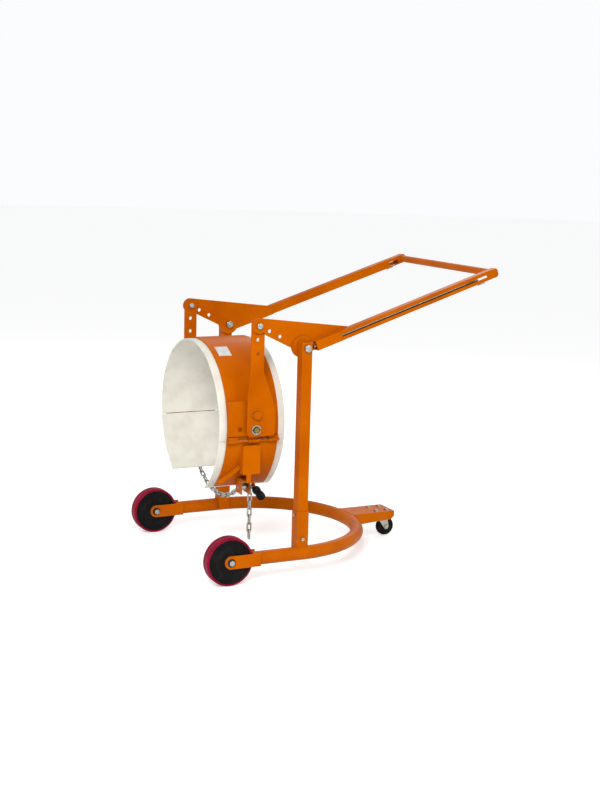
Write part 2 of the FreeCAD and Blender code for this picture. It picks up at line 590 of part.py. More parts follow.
def hanger():
    """Flat bar hung on the tip bolt, flaring to the rear at the trunnion."""
    low = AXIS_Z + HANGER_BOTTOM_DZ
    outline = [(-HANGER_HALF, HANGER_TOP_Z), (HANGER_HALF, HANGER_TOP_Z), (HANGER_HALF, HANGER_WAIST_Z)]
    outline += [(HANGER_REAR - FLARE_RUN, HANGER_FLARE_Z + FLARE_RISE)]
    outline += [(HANGER_REAR, HANGER_FLARE_Z - FLARE_DROP), (HANGER_REAR, low)]
    outline += [(HANGER_FRONT, low), (HANGER_FRONT, HANGER_FLARE_Z + FRONT_STEP)]
    outline += [(-HANGER_HALF, HANGER_WAIST_Z + FRONT_TAPER)]
    plate = plate_yz(outline, HANGER_IN, HANGER_OUT)
    corners = [e for e in plate.Edges if e.BoundBox.ZMax < low + FIT and e.BoundBox.YLength < FIT]
    plate = plate.makeFillet(HANGER_CORNER, corners)
    width = HANGER_OUT - HANGER_IN
    plate = plate.cut(rod(V(HANGER_IN, 0, TIP_Z), AX, TIP_PIN_R + FIT, width))
    plate = plate.cut(rod(axis_point(HANGER_IN), AX, BUSH_R, width))
    plate = plate.cut(rod(axis_point(HANGER_IN, LOCK_RADIUS), AX, LOCK_PIN_R + FIT, width))
    for z in HANGER_HOLES_Z:
        plate = plate.cut(rod(V(HANGER_IN, 0, z), AX, SPARE_HOLE_R, width))
    return plate.fuse(lock_housing()).removeSplitter()


def trunnion_bush():
    return ring(axis_point(HANGER_IN), AX, BUSH_R, TRUNNION_R + FIT, HANGER_OUT - HANGER_IN)


def lock_housing():
    start = axis_point(HANGER_OUT, LOCK_RADIUS)
    return ring(start, AX, PLUNGER_HOUSING_R, LOCK_PIN_R + FIT, PLUNGER_HOUSING_T)


def lock_plunger():
    """Pin with a pull knob and two finger ears, drawn withdrawn: its nose is just clear of the lock box."""
    start = BOX_OUT + PLUNGER_CLEAR
    face = HANGER_OUT + PLUNGER_HOUSING_T + PLUNGER_GAP
    pin = rod(axis_point(start, LOCK_RADIUS), AX, LOCK_PIN_R, face - start)
    knob = rod(axis_point(face, LOCK_RADIUS), AX, PLUNGER_KNOB_R, PLUNGER_KNOB_T)
    z = AXIS_Z + LOCK_RADIUS
    ears = box(face, face + EAR_T, -EAR_REACH, EAR_REACH, z - EAR_HALF, z + EAR_HALF)
    return pin.fuse(knob).fuse(ears).removeSplitter()


# ---------------------------------------------------------------- holder

def hinge_point(y=0.0):
    return V(HINGE_X, y, AXIS_Z + HINGE_DZ)


def hinge_stations(fixed):
    """Y ranges of the alternate knuckles: the even ones belong to the saddle, the odd ones to the flap."""
    pitch = 2.0 * BAND_HALF / KNUCKLES
    first = 0 if fixed else 1
    return [(-BAND_HALF + i * pitch + KNUCKLE_GAP, -BAND_HALF + (i + 1) * pitch - KNUCKLE_GAP)
            for i in range(first, KNUCKLES, 2)]


def hinge_knuckles(fixed):
    """Knuckle barrels and their leaves, which lie on the outside of the band."""
    bore = HINGE_PIN_R if fixed else HINGE_PIN_R + FIT
    pieces = []
    for y0, y1 in hinge_stations(fixed):
        barrel = rod(hinge_point(y0), AY, KNUCKLE_R, y1 - y0)
        z0, z1 = (0.0, LEAF_LEN) if fixed else (-LEAF_LEN, 0.0)
        z = AXIS_Z + HINGE_DZ
        leaf = box(LEAF_IN, LEAF_OUT, y0, y1, z + z0, z + z1)
        pieces.append(barrel.fuse(leaf).cut(rod(hinge_point(y0), AY, bore, y1 - y0)))
    return pieces


def hinge_clearance(fixed):
    """Room around the other side's knuckles."""
    return [rod(hinge_point(y0 - KNUCKLE_GAP), AY, KNUCKLE_R + KNUCKLE_ROOM, y1 - y0 + 2 * KNUCKLE_GAP)
            for y0, y1 in hinge_stations(not fixed)]


def saddle_shell():
    shell = band(SHELL_R, SHELL_OUT, SHELL_END_DEG, 180.0 - SHELL_END_DEG, BAND_HALF)
    inner = drum_cylinder(SHELL_R)
    for knuckle in hinge_knuckles(True):
        for piece in (knuckle, mirrored(knuckle)):
            shell = shell.fuse(piece.cut(inner))
    for room in hinge_clearance(True):
        shell = shell.cut(room).cut(mirrored(room))
    bore = rod(hinge_point(-BAND_HALF), AY, HINGE_PIN_R, 2 * BAND_HALF)
    return shell.cut(bore).cut(mirrored(bore)).removeSplitter()


def saddle_liner():
    start = SHELL_END_DEG - LINER_LAP_DEG
    return band(LINER_R, LINER_R + LINER_T, start, 180.0 - start, LINER_HALF)


def hinge_pin():
    pin = rod(hinge_point(-BAND_HALF - HINGE_PROUD), AY, HINGE_PIN_R, 2 * (BAND_HALF + HINGE_PROUD))
    head = rod(hinge_point(-BAND_HALF - HINGE_PROUD - HINGE_HEAD), AY, HINGE_PIN_R + HINGE_HEAD, HINGE_HEAD)
    return pin.fuse(head).removeSplitter()


def lock_box():
    """Pan welded to the shell side: flat face, top and front flanges coped to the shell, two lock holes."""
    z0, z1 = AXIS_Z + BOX_DZ0, AXIS_Z + BOX_DZ1
    pan = box(BOX_IN, BOX_OUT, BOX_Y0, BOX_Y1, z0, z1)
    pan = pan.cut(box(BOX_IN, BOX_OUT - BOX_WALL, BOX_Y0 + BOX_WALL, BOX_Y1 - BOX_WALL, z0, z1 - BOX_WALL))
    pan = pan.cut(drum_cylinder(SHELL_OUT))
    pan = max(pan.Solids, key=lambda s: s.Volume)
    room = box(SHELL_R, BOX_OUT, -BAND_HALF, BAND_HALF, z0, AXIS_Z + HINGE_DZ + LEAF_LEN + LEAF_ROOM)
    pan = pan.cut(room.common(box(SHELL_R, BOX_OUT - BOX_WALL, -BAND_HALF, BAND_HALF, z0, z1)))
    for y, dz in ((0.0, LOCK_RADIUS), (-LOCK_RADIUS, 0.0)):
        pan = pan.cut(rod(axis_point(SHELL_R, dz, y), AX, LOCK_PIN_R + 2 * FIT, BOX_OUT - SHELL_R))
    pan = pan.fuse(rod(axis_point(BOX_OUT), AX, BOSS_R, BOSS_OUT - BOX_OUT)).removeSplitter()
    pan = pan.cut(rod(axis_point(SHELL_R), AX, TRUNNION_R, BOSS_OUT - SHELL_R))
    return max(pan.Solids, key=lambda s: s.Volume)


def trunnion_pin():
    """Pin pressed in the boss and lock box, grooved for the retaining clip."""
    length = TRUNNION_OUT - TRUNNION_IN
    pin = rod(axis_point(TRUNNION_IN), AX, TRUNNION_R, length)
    return pin.cut(ring(axis_point(CLIP_X), AX, CLIP_R, TRUNNION_R - CLIP_GROOVE, CLIP_T))


def trunnion_washer():
    return ring(axis_point(HANGER_OUT + THRUST_GAP), AX, THRUST_R, TRUNNION_R + TOUCH, THRUST_T)


def trunnion_clip():
    """Flat retaining clip with two ears and an open mouth."""
    clip = ring(axis_point(CLIP_X), AX, CLIP_R, TRUNNION_R - CLIP_GROOVE, CLIP_T)
    reach = CLIP_R + CLIP_EAR
    ears = box(CLIP_X, CLIP_X + CLIP_T, -reach, reach, AXIS_Z - CLIP_EAR_HALF, AXIS_Z + CLIP_EAR_HALF)
    ears = ears.cut(rod(axis_point(CLIP_X), AX, TRUNNION_R, CLIP_T))
    mouth = box(CLIP_X, CLIP_X + CLIP_T, -CLIP_MOUTH_HALF, CLIP_MOUTH_HALF, AXIS_Z - 2 * CLIP_R, AXIS_Z)
    return clip.fuse(ears).removeSplitter().cut(mouth)


def blank_plate():
    """Blank curved plate riveted to the saddle where a maker would put a label."""
    plate = band(SHELL_OUT, SHELL_OUT + LABEL_T, LABEL_LOW_DEG, LABEL_HIGH_DEG, BAND_HALF)
    return plate.common(box(0, SHELL_OUT, LABEL_Y0, LABEL_Y1, AXIS_Z, AXIS_Z + 2 * SHELL_OUT))


# ---------------------------------------------------------------- flaps

def flap():
    plate = band(SHELL_R, SHELL_OUT, FLAP_END_DEG, FLAP_TOP_DEG, BAND_HALF)
    inner = drum_cylinder(SHELL_R)
    for knuckle in hinge_knuckles(False):
        plate = plate.fuse(knuckle.cut(inner))
    for room in hinge_clearance(False):
        plate = plate.cut(room)
    bore = rod(hinge_point(-BAND_HALF), AY, HINGE_PIN_R + FIT, 2 * BAND_HALF)
    return max(plate.cut(bore).removeSplitter().Solids, key=lambda s: s.Volume)


def flap_liner():
    return band(LINER_R, LINER_R + LINER_T, LINER_END_DEG, LINER_TOP_DEG, LINER_HALF)


def chain_bracket():
    """Channel standing on the flap: flat web outside, two cheeks coped to the flap."""
    y0, y1 = BRACKET_Y - BRACKET_HALF, BRACKET_Y + BRACKET_HALF
    z0, z1 = AXIS_Z + BRACKET_BOTTOM_DZ, AXIS_Z + BRACKET_TOP_DZ
    outer = SHELL_OUT + BRACKET_T
    channel = box(BRACKET_ROOT, outer, y0, y1, z0, z1)
    hollow = box(BRACKET_ROOT, SHELL_OUT, y0 + BRACKET_T, y1 - BRACKET_T, z0, z1)
    return channel.cut(hollow).cut(drum_cylinder(SHELL_OUT + TOUCH))


def flap_brace():
    """Diagonal flat bar on edge, from the bracket cheek down to the front corner of the flap."""
    reach = BRACKET_Y - BRACKET_HALF
    high = around_drum(SHELL_OUT + BRACE_PROUD, BRACE_HIGH_DEG, reach)
    low = around_drum(SHELL_OUT + BRACE_PROUD, BRACE_LOW_DEG, -BAND_HALF)
    run = low - high
    bar = Part.makeBox(run.Length, BRACKET_T, BRACE_WIDTH, V(0, -BRACKET_T / 2.0, -BRACE_WIDTH / 2.0))
    outward = around_drum(1.0, (BRACE_HIGH_DEG + BRACE_LOW_DEG) / 2.0) - around_drum(0.0, 0.0)
    bar.Placement = FreeCAD.Placement(high, FreeCAD.Rotation(run, run.cross(outward), outward, "XZY"))
    bar = bar.cut(drum_cylinder(SHELL_OUT + TOUCH)).cut(box(0, 2 * SHELL_OUT, reach, 0, 0, AXIS_Z))
    return max(bar.Solids, key=lambda s: s.Volume)


def ratchet_frame():
    """Inverted U between the bracket cheeks, carrying the spool shaft."""
    y0, y1 = RATCHET_Y - RATCHET_IN_HALF - RATCHET_T, RATCHET_Y + RATCHET_IN_HALF + RATCHET_T
    frame = box(RATCHET_X0, RATCHET_X1, y0, y1, RATCHET_Z0, RATCHET_Z1)
    hollow = box(RATCHET_X0, RATCHET_X1, y0 + RATCHET_T, y1 - RATCHET_T, RATCHET_Z0, RATCHET_Z1 - RATCHET_T)
    tongue = box(RATCHET_X1 - TONGUE_LAP, SHELL_OUT + BRACKET_T, y0, y1, RATCHET_Z1 - RATCHET_T, RATCHET_Z1)
    foot_z, top_z = RATCHET_Z1 - RATCHET_T, AXIS_Z + BRACKET_BOTTOM_DZ
    riser = box(SHELL_OUT, SHELL_OUT + BRACKET_T, y0, RATCHET_Y, foot_z, top_z)
    frame = frame.cut(hollow).fuse(tongue).fuse(riser)
    frame = frame.cut(rod(V(RATCHET_X, y0, RATCHET_Z), AY, SHAFT_R + FIT, y1 - y0))
    frame = frame.cut(rod(V(PAWL_X, y0, PAWL_Z), AY, PAWL_PIN_R + FIT, y1 - y0))
    return frame.cut(drum_cylinder(SHELL_OUT + SPOOL_GAP)).removeSplitter()


def ratchet_spool():
    """Shaft, chain drum and toothed wheel turned as one piece; the spare chain hangs on the shaft's neck."""
    inner = RATCHET_IN_HALF - SPOOL_GAP
    centre = V(RATCHET_X, RATCHET_Y - inner, RATCHET_Z)
    y0 = RATCHET_Y - RATCHET_IN_HALF - RATCHET_T - SHAFT_PROUD
    spool = rod(V(RATCHET_X, y0, RATCHET_Z), AY, SHAFT_R, HANDLE_Y1 + SHAFT_PROUD - y0)
    spool = spool.fuse(rod(centre, AY, SPOOL_R, 2 * inner))
    gear = rod(centre, AY, GEAR_R, GEAR_T)
    for i in range(GEAR_TEETH):
        gap = box(GEAR_R - TOOTH_DEPTH, 2 * GEAR_R, -TOOTH_GAP_HALF, TOOTH_GAP_HALF, 0, GEAR_T)
        gap.rotate(ORIGIN, AZ, i * 360.0 / GEAR_TEETH)
        gap.rotate(ORIGIN, AX, -90)
        gap.translate(centre)
        gear = gear.cut(gap)
    neck = V(RATCHET_X, TAIL_Y - NECK_HALF, RATCHET_Z)
    return spool.fuse(gear).cut(ring(neck, AY, SHAFT_R, NECK_R, 2 * NECK_HALF)).removeSplitter()


def ratchet_pawl():
    """Small pawl riveted to its pin, its nose just clear of the teeth."""
    y0 = RATCHET_Y - RATCHET_IN_HALF + SPOOL_GAP
    pawl = rod(V(PAWL_X, y0, PAWL_Z), AY, PAWL_R, GEAR_T)
    pawl = pawl.fuse(box(PAWL_X - NOSE_LEN, PAWL_X, y0, y0 + GEAR_T, PAWL_Z - NOSE_H, PAWL_Z))
    pawl = pawl.cut(rod(V(RATCHET_X, y0, RATCHET_Z), AY, GEAR_R + NOSE_GAP, GEAR_T))
    reach = RATCHET_IN_HALF + RATCHET_T + PAWL_PIN_PROUD
    pin = rod(V(PAWL_X, RATCHET_Y - reach, PAWL_Z), AY, PAWL_PIN_R, 2 * reach)
    return max(pawl.Solids, key=lambda s: s.Volume).fuse(pin).removeSplitter()


def ratchet_handle():
    """Flat lever keyed on the spool shaft; the tang runs inside the grip."""
    centre = V(RATCHET_X, HANDLE_Y0, RATCHET_Z)
    lever = rod(centre, AY, HANDLE_EYE_R, HANDLE_Y1 - HANDLE_Y0)
    tang = box(RATCHET_X, RATCHET_X + HANDLE_LEN, HANDLE_Y0, HANDLE_Y1, RATCHET_Z - HANDLE_H / 2.0,
               RATCHET_Z + HANDLE_H / 2.0)
    lever = lever.fuse(turned(tang, centre, AY, HANDLE_DEG))
    return lever.cut(rod(centre, AY, SHAFT_R, HANDLE_Y1 - HANDLE_Y0)).removeSplitter()


def handle_grip():
    """Dog-bone rubber grip, moulded over the tang."""
    middle = (HANDLE_Y0 + HANDLE_Y1) / 2.0
    start = V(RATCHET_X + GRIP_START, middle, RATCHET_Z)
    grip = rod(start, AX, GRIP_R * GRIP_WAIST, GRIP_LEN)
    for share in (0.0, 1.0 - GRIP_BULB):
        grip = grip.fuse(rod(start + AX * GRIP_LEN * share, AX, GRIP_R, GRIP_LEN * GRIP_BULB))
    grip = turned(grip.removeSplitter(), V(RATCHET_X, middle, RATCHET_Z), AY, HANDLE_DEG)
    return grip.cut(ratchet_handle())


def chain_anchor():
    """Two welded fingers with a slot, open below, that hold the last flat link (drawn on the left side)."""
    y0, y1 = RATCHET_Y - ANCHOR_HALF, RATCHET_Y + ANCHOR_HALF
    fingers = box(ANCHOR_X, ANCHOR_X + ANCHOR_T, y0, y1, ANCHOR_Z, ANCHOR_TOP_Z)
    slot = box(ANCHOR_X, ANCHOR_X + ANCHOR_T, RATCHET_Y - ANCHOR_SLOT, RATCHET_Y + ANCHOR_SLOT, 0, AXIS_Z)
    fingers = fingers.cut(slot).cut(drum_cylinder(SHELL_OUT))
    seat = band(SHELL_OUT, SHELL_OUT + SEAT_T, SEAT_LOW_DEG, SEAT_HIGH_DEG, BAND_HALF)
    seat = seat.common(box(0, SHELL_OUT, y0, y1, 0, AXIS_Z))
    return fingers.fuse(seat).removeSplitter()


def link(centre, forward, across):
    """One welded link: centre, long axis and width axis."""
    bend = (LINK_WIDTH - 2 * WIRE_R) / 2.0
    straight = LINK_PITCH / 2.0 + LINK_PLAY + WIRE_R - bend
    body = rod(V(bend, -straight, 0), AY, WIRE_R, 2 * straight)
    body = body.fuse(rod(V(-bend, -straight, 0), AY, WIRE_R, 2 * straight))
    for y, start in ((straight, 0), (-straight, 180)):
        section = Part.Face(Part.Wire(Part.makeCircle(WIRE_R, V(bend, 0, 0), AY)))
        arc = section.revolve(ORIGIN, AZ, 180)
        arc.rotate(ORIGIN, AZ, start)
        arc.translate(V(0, y, 0))
        body = body.fuse(arc)
    body = body.removeSplitter()
    turn = FreeCAD.Rotation(across, forward, across.cross(forward), "YXZ")
    body.Placement = FreeCAD.Placement(centre, turn)
    return body


def tension_chain():
    """Links lying under the drum from the spool to the anchor fingers."""
    step = 2.0 * math.degrees(math.asin(LINK_PITCH / (2.0 * CHAIN_RADIUS)))
    links = []
    for i in range(CHAIN_LINKS):
        degrees = CHAIN_START_DEG - (i + 0.5) * step
        outward = around_drum(1.0, degrees) - around_drum(0.0, 0.0)
        forward = AY.cross(outward)
        across = outward if i % 2 == 0 else AY
        links.append(link(around_drum(CHAIN_RADIUS, degrees, RATCHET_Y), forward, across))
    return links


def tail_chain():
    """Spare links hanging from the spool shaft."""
    links = []
    for i in range(TAIL_LINKS):
        across = AX if i % 2 == 0 else AY
        links.append(link(V(RATCHET_X, TAIL_Y, TAIL_TOP_Z - i * LINK_PITCH), AZ, across))
    return links


# ---------------------------------------------------------------- export

def frame_centre_y():
    """Midway between the front of the wheels and the rear end of the handle arms."""
    lean = math.radians(arm_angle())
    rear = ARM_END_Y + ARM_END_ROUND * (1.0 - math.cos(lean))
    rear += (ARM_DEPTH / 2.0 - ARM_END_ROUND) * math.sin(lean)
    return (rear + AXLE_Y - WHEEL_R) / 2.0


def both_sides(name, shape):
    return {"left_" + name: shape, "right_" + name: mirrored(shape)}


def grouped(shapes):
    return Part.makeCompound(shapes)


def pair(shapes):
    """The same fasteners on both sides, as separate solids of one node."""
    return Part.makeCompound(list(shapes) + [mirrored(s) for s in shapes])


def base_nodes():
    hoop = base_hoop()
    solid_hoop = hoop_solid(TUBE_R)
    nodes = {"base_hoop": hoop, "caster_leg": caster_leg(solid_hoop)}
    nodes.update(both_sides("post", post()))
    nodes["fork_plates"] = pair(fork_plates())
    nodes["post_sockets"] = pair([post_socket(solid_hoop)])
    nodes["latch_discs"] = pair([latch_disc()])
    nodes["socket_fasteners"] = pair(socket_fasteners())
    nodes["pivot_fasteners"] = pair(pivot_fasteners())
    nodes["axle_fasteners"] = pair(axle_fasteners())
    nodes["axle_rings"] = pair([axle_ring()])
    return nodes


def wheel_nodes():
    nodes = both_sides("wheel_tread", wheel_tread())
    nodes.update(both_sides("wheel_core", wheel_core()))
    nodes.update(both_sides("wheel_sleeve", wheel_sleeve()))
    return nodes


def caster_nodes():
    nodes = {"caster_plate": caster_plate(), "caster_kingpin": kingpin()}
    nodes["caster_fasteners"] = grouped(caster_fasteners())
    nodes["caster_fork"] = caster_fork()
    nodes["caster_tyre"] = caster_tyre()
    nodes["caster_hub"] = caster_hub()
    nodes["caster_axle"] = grouped(caster_axle())
    return nodes


def lever_nodes():
    nodes = both_sides("lever_plate", lever_plate())
    nodes.update(both_sides("handle_arm", handle_arm()))
    nodes.update(both_sides("release_rod", release_rod()))
    nodes["release_springs"] = pair([release_spring()])
    nodes["lever_bushes"] = pair([lever_bush()])
    nodes["handle_crossbar"] = crossbar()
    nodes["tip_fasteners"] = pair(tip_fasteners())
    return nodes


def hanger_nodes():
    nodes = both_sides("hanger", hanger())
    nodes["trunnion_bushes"] = pair([trunnion_bush()])
    nodes.update(both_sides("lock_plunger", lock_plunger()))
    return nodes


def holder_nodes():
    nodes = {"saddle_shell": saddle_shell(), "saddle_liner": saddle_liner(), "blank_plate": blank_plate()}
    nodes["lock_boxes"] = pair([lock_box()])
    nodes["trunnion_pins"] = pair([trunnion_pin()])
    nodes["trunnion_hardware"] = pair([trunnion_washer(), trunnion_clip()])
    nodes["hinge_pins"] = pair([hinge_pin()])
    nodes.update(both_sides("flap", flap()))
    nodes.update(both_sides("flap_liner", flap_liner()))
    nodes["left_chain_bracket"] = chain_bracket()
    nodes["right_chain_bracket"] = mirrored(grouped([chain_bracket(), chain_anchor()]))
    nodes["flap_brace"] = flap_brace()
    return nodes


def ratchet_nodes():
    nodes = {"ratchet_frame": ratchet_frame(), "ratchet_spool": ratchet_spool()}
    nodes["ratchet_pawl"] = ratchet_pawl()
    nodes["ratchet_handle"] = ratchet_handle()
    nodes["ratchet_grip"] = handle_grip()
    nodes["tension_chain"] = grouped(tension_chain())
    nodes["tail_chain"] = grouped(tail_chain())
    return nodes


os.makedirs("parts", exist_ok=True)
to_centre = V(0, -frame_centre_y(), 0)
for group in (base_nodes, wheel_nodes, caster_nodes, lever_nodes, hanger_nodes, holder_nodes, ratchet_nodes):
    for name, shape in group().items():
        shape.translate(to_centre)
        shape.exportStep("parts/" + name + ".step")
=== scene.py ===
import bmesh
import bpy
import json
import math
import numpy as np
from mathutils import Matrix, Vector

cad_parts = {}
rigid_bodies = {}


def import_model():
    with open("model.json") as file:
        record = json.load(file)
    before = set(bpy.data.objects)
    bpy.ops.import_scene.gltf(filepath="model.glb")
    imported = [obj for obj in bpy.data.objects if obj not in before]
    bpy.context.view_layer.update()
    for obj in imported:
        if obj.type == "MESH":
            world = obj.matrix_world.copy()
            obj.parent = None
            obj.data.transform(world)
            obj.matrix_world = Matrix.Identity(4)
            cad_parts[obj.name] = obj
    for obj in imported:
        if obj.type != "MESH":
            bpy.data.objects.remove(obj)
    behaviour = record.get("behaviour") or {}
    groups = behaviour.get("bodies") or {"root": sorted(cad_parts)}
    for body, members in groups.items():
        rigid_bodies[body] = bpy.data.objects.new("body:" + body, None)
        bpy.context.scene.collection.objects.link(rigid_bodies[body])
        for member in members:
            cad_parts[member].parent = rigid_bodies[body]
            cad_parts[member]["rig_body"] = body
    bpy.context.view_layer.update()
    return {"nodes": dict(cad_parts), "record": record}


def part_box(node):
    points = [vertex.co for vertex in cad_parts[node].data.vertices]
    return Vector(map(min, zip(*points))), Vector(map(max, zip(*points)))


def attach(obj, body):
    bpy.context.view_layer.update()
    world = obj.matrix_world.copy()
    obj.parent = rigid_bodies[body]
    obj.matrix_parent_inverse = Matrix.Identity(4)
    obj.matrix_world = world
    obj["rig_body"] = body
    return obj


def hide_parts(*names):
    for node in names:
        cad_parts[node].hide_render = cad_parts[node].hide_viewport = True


# Drum dolly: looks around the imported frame.  Metres; X lateral, Y rearward, Z up, floor at Z = 0.

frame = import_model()
RECORD = frame["record"]
NODES = frame["nodes"]
MM = 0.001

# Camera of the reference view
CAMERA_AT = Vector((4.777, -2.4481, 1.556))
YAW, PITCH, ROLL = math.radians(26.64), math.radians(10.28), math.radians(1.61)
LENS_MM, SENSOR_MM, CLIP_END = 62.16, 36.0, 200.0

# Middle of the lined seat around the drum, from the record
SEAT_AT = Vector(RECORD["mounts"][0]["pos_m"])

# Colours, linear
# The palest orange is a painted highlight for convex edges.
ORANGE, ORANGE_DEEP, ORANGE_HIGHLIGHT = (0.52, 0.112, 0.0), (0.42, 0.080, 0.0), (0.64, 0.19, 0.002)
SHEEN_ORANGE, SHEEN_CRIMSON = (1.0, 0.42, 0.04, 1.0), (0.9, 0.25, 0.35, 1.0)
# The darker colour of this pair is painted shade for corners and crevices; the lighter one is dust.
DUST, CREVICE_SHADE = (0.36, 0.27, 0.18), (0.045, 0.028, 0.018)
# The dull steel is exposed steel where paint is chipped, and also painted shade in the crevices of plated
# parts.
STEEL, STEEL_CHIP_AND_SHADE, STEEL_WARM = (0.50, 0.51, 0.49), (0.10, 0.10, 0.10), (0.48, 0.44, 0.33)
# The stain colour of the liner also serves as painted shade in its corners.
LINER, LINER_STAIN_AND_SHADE = (0.70, 0.69, 0.62), (0.56, 0.53, 0.45)
CRIMSON, CRIMSON_DEEP, CRIMSON_SCUFF = (0.28, 0.002, 0.030), (0.18, 0.002, 0.018), (0.28, 0.03, 0.06)
BLACK, BLACK_WORN = (0.005, 0.005, 0.006), (0.03, 0.029, 0.028)
# The dull brass is both tarnished patches and painted shade in crevices.
BRASS, BRASS_DULL_AND_SHADE = (0.34, 0.25, 0.05), (0.20, 0.14, 0.03)
PLATE, PLATE_DULL = (0.62, 0.63, 0.62), (0.48, 0.49, 0.49)

# Texture settings shared by the materials
NOISE_ROUGH, MASK_SAMPLES = 0.55, 6
EDGE_TURN_LOW, EDGE_TURN_HIGH = 0.01, 0.12
# Where painted shade in corners starts and where it is full
OPEN_CORNER, DEEP_CORNER = 0.85, 0.35

# Wheels: steps around, tread shoulders and parting lines
WHEEL_STEPS, LATHE_STEPS, SMALL_STEPS = 144, 96, 64
TREAD_SHOULDER, TREAD_LINE = 6.0 * MM, 0.4 * MM
TYRE_SHOULDER, TYRE_LINE = 7.0 * MM, 0.25 * MM
SHOULDER_STEPS, TREAD_FOOT_R, TREAD_FOOT_X = 6, 1.0 * MM, 0.6 * MM
CROWN_SHARE, LINE_START, LINE_FOOT = 0.35, 1.2 * MM, 0.5 * MM

# Moulded wheel core: bore, hub, dished web with a shallow step (shares of the rim radius), rim lip
CORE_BORE, CORE_HUB, CORE_HUB_ROUND, CORE_HUB_FOOT = 12.0 * MM, 27.0 * MM, 2.0 * MM, 1.0 * MM
CORE_DISH, CORE_STEP, CORE_STEP_AT = 3.5 * MM, 0.8 * MM, (0.60, 0.61, 0.66, 0.67)
CORE_LIP_BACK, CORE_LIP_DROP = (9.0 * MM, 7.0 * MM, 5.0 * MM), 0.5 * MM
CORE_RIM_R, CORE_RIM_X = 1.2 * MM, 0.8 * MM

# Axle seals
SEAL_IN, SEAL_OUT, SEAL_T, SEAL_EDGE = 11.5 * MM, 15.5 * MM, 2.0 * MM, 0.5 * MM

# Grip: how full its section is, waist, finger ribs and rounded ends, along 0..1
GRIP_STEPS, GRIP_SIDES, GRIP_FULLNESS = 90, 40, 1.12
WAIST_DEPTH, WAIST_AT, WAIST_WIDTH = 0.16, 0.46, 0.16
RIB_DEPTH, RIB_WAVES, RIB_START, RIB_END = 0.03, 26, 0.12, 0.88
END_FLAT, END_ROUND, END_LEAST = 0.86, 0.14, 0.05

# Liner sheets: steps, unevenness of the cut edges and rounding of their corners
LINER_STEP_DEG, LINER_LEAST_STEPS, LINER_INSET = 1.5, 12, 0.8 * MM
LINER_WAVE, LINER_SWAY = 0.5 * MM, (0.23, 0.71)
LINER_RIPPLE, LINER_RIPPLE_AT, LINER_FAR = 0.6, 1.3, 0.7
LINER_CORNER, LINER_BORDER = 1.5 * MM, 8.0 * MM

# Fasteners: hexagon chamfers and countersink
HEX_STEPS, HEX_FLAT, HEX_CHAMFER, COUNTERSINK = 48, 0.94, 0.55, 0.1
# Threads: pitch, depth and plain fit as shares of the shank radius
THREAD_SIDES, THREAD_PITCH, THREAD_DEPTH, THREAD_RINGS = 24, 0.3, 0.13, 5
SHANK_FIT, THREAD_TAPER, THREADED_RADII = 0.99, 0.8, 5
# How a bolt, its head and a washer are told from other solids
BOLT_SLENDERNESS, HEAD_WIDER, WASHER_MOST, WASHER_BEVEL = 1.6, 1.1, 3.0 * MM, 0.4 * MM

# Retaining clips: shares of their height, sweep and ears
CLIP_STEPS, CLIP_INNER, CLIP_OUTER, CLIP_BEVEL = 40, 0.33, 0.5, 0.2 * MM
CLIP_START_DEG, CLIP_SWEEP_DEG, CLIP_EAR_WIDTH = -75, 330, 0.16

# Chain links and the collars where their wire is welded
WIRE_SIDES, BEND_STEPS = 14, 12
COLLAR_STEPS, COLLAR_BASE, COLLAR_SWELL, COLLAR_HALF = 8, 0.94, 0.16, 0.9

# Weld beads: size, ripples and taper, then where they lie
BEAD_R, BEAD_STEP, RIPPLE, RIPPLE_PITCH, BEAD_SIDES = 2.6 * MM, 0.8 * MM, 0.16, 3.4 * MM, 10
BEAD_TAPER, THIN_BEAD_R, CIRCLE_STEPS = 1.5, BEAD_R * 0.8, 48
SOCKET_REACH, SOCKET_STEPS, HOOP_END_SINK = 0.94, 14, 0.6
FORK_SPREAD, FORK_SINK, FORK_BEFORE, FORK_BEYOND = 6.0 * MM, 0.5 * MM, 2.0 * MM, 1.0 * MM
DISC_FROM_DEG, DISC_STEP_DEG, DISC_STEPS = -28, 4, 14
LEG_STEPS, BOX_STEPS, BOX_SKIPPED, BRACKET_STEPS = 20, 16, 4, 18
ARM_ROOT, ARM_TOP_SHARE, ARM_LOW_SHARE, BAR_SINK = 15.0 * MM, 0.92, 0.88, 0.5

MERGE_DISTANCE, NEARLY_UPRIGHT = 0.001 * MM, 0.9
SMOOTH_ANGLE, BEVEL_SEGMENTS = math.radians(35), 2
LEFT_TO_RIGHT = Matrix.Scale(-1.0, 3, Vector((1, 0, 0)))
AXLE = Vector((1, 0, 0))

# Studio: floor and world, each a little brighter where the camera sees it; name, place, size, watts, colour
FLOOR_R, FLOOR_SIDES, FLOOR_ROUGH, FLOOR_GLOW = 30.0, 96, 0.6, 0.38
FLOOR_SHADES = (0.90, 0.90, 0.89), (0.93, 0.93, 0.92)
WORLD_COLOUR, WORLD_LIGHT, WORLD_GLOW = (0.98, 0.99, 1.0, 1.0), 0.62, 0.36
WHITE, WARM_WHITE = (1.0, 1.0, 1.0), (1.0, 0.98, 0.95)
LIGHTS = (
    ("key", (3.2, -2.2, 3.0), 1.4, 130.0, WARM_WHITE),
    ("fill", (4.5, 1.8, 2.0), 2.5, 25.0, WHITE),
    ("back", (-3.0, 2.5, 3.0), 2.5, 30.0, WHITE),
)
LIGHTS_AIM = Vector((0, 0, 0.5))


# ------------------------------------------------------------------ node helpers

def add(tree, kind, inputs=None, **settings):
    """A shader node with its settings, and its inputs set to values or linked to sockets."""
    made = tree.nodes.new("ShaderNode" + kind)
    for name, value in settings.items():
        setattr(made, name, value)
    for name, value in (inputs or {}).items():
        if isinstance(value, bpy.types.NodeSocket):
            tree.links.new(value, made.inputs[name])
        else:
            made.inputs[name].default_value = value
    return made


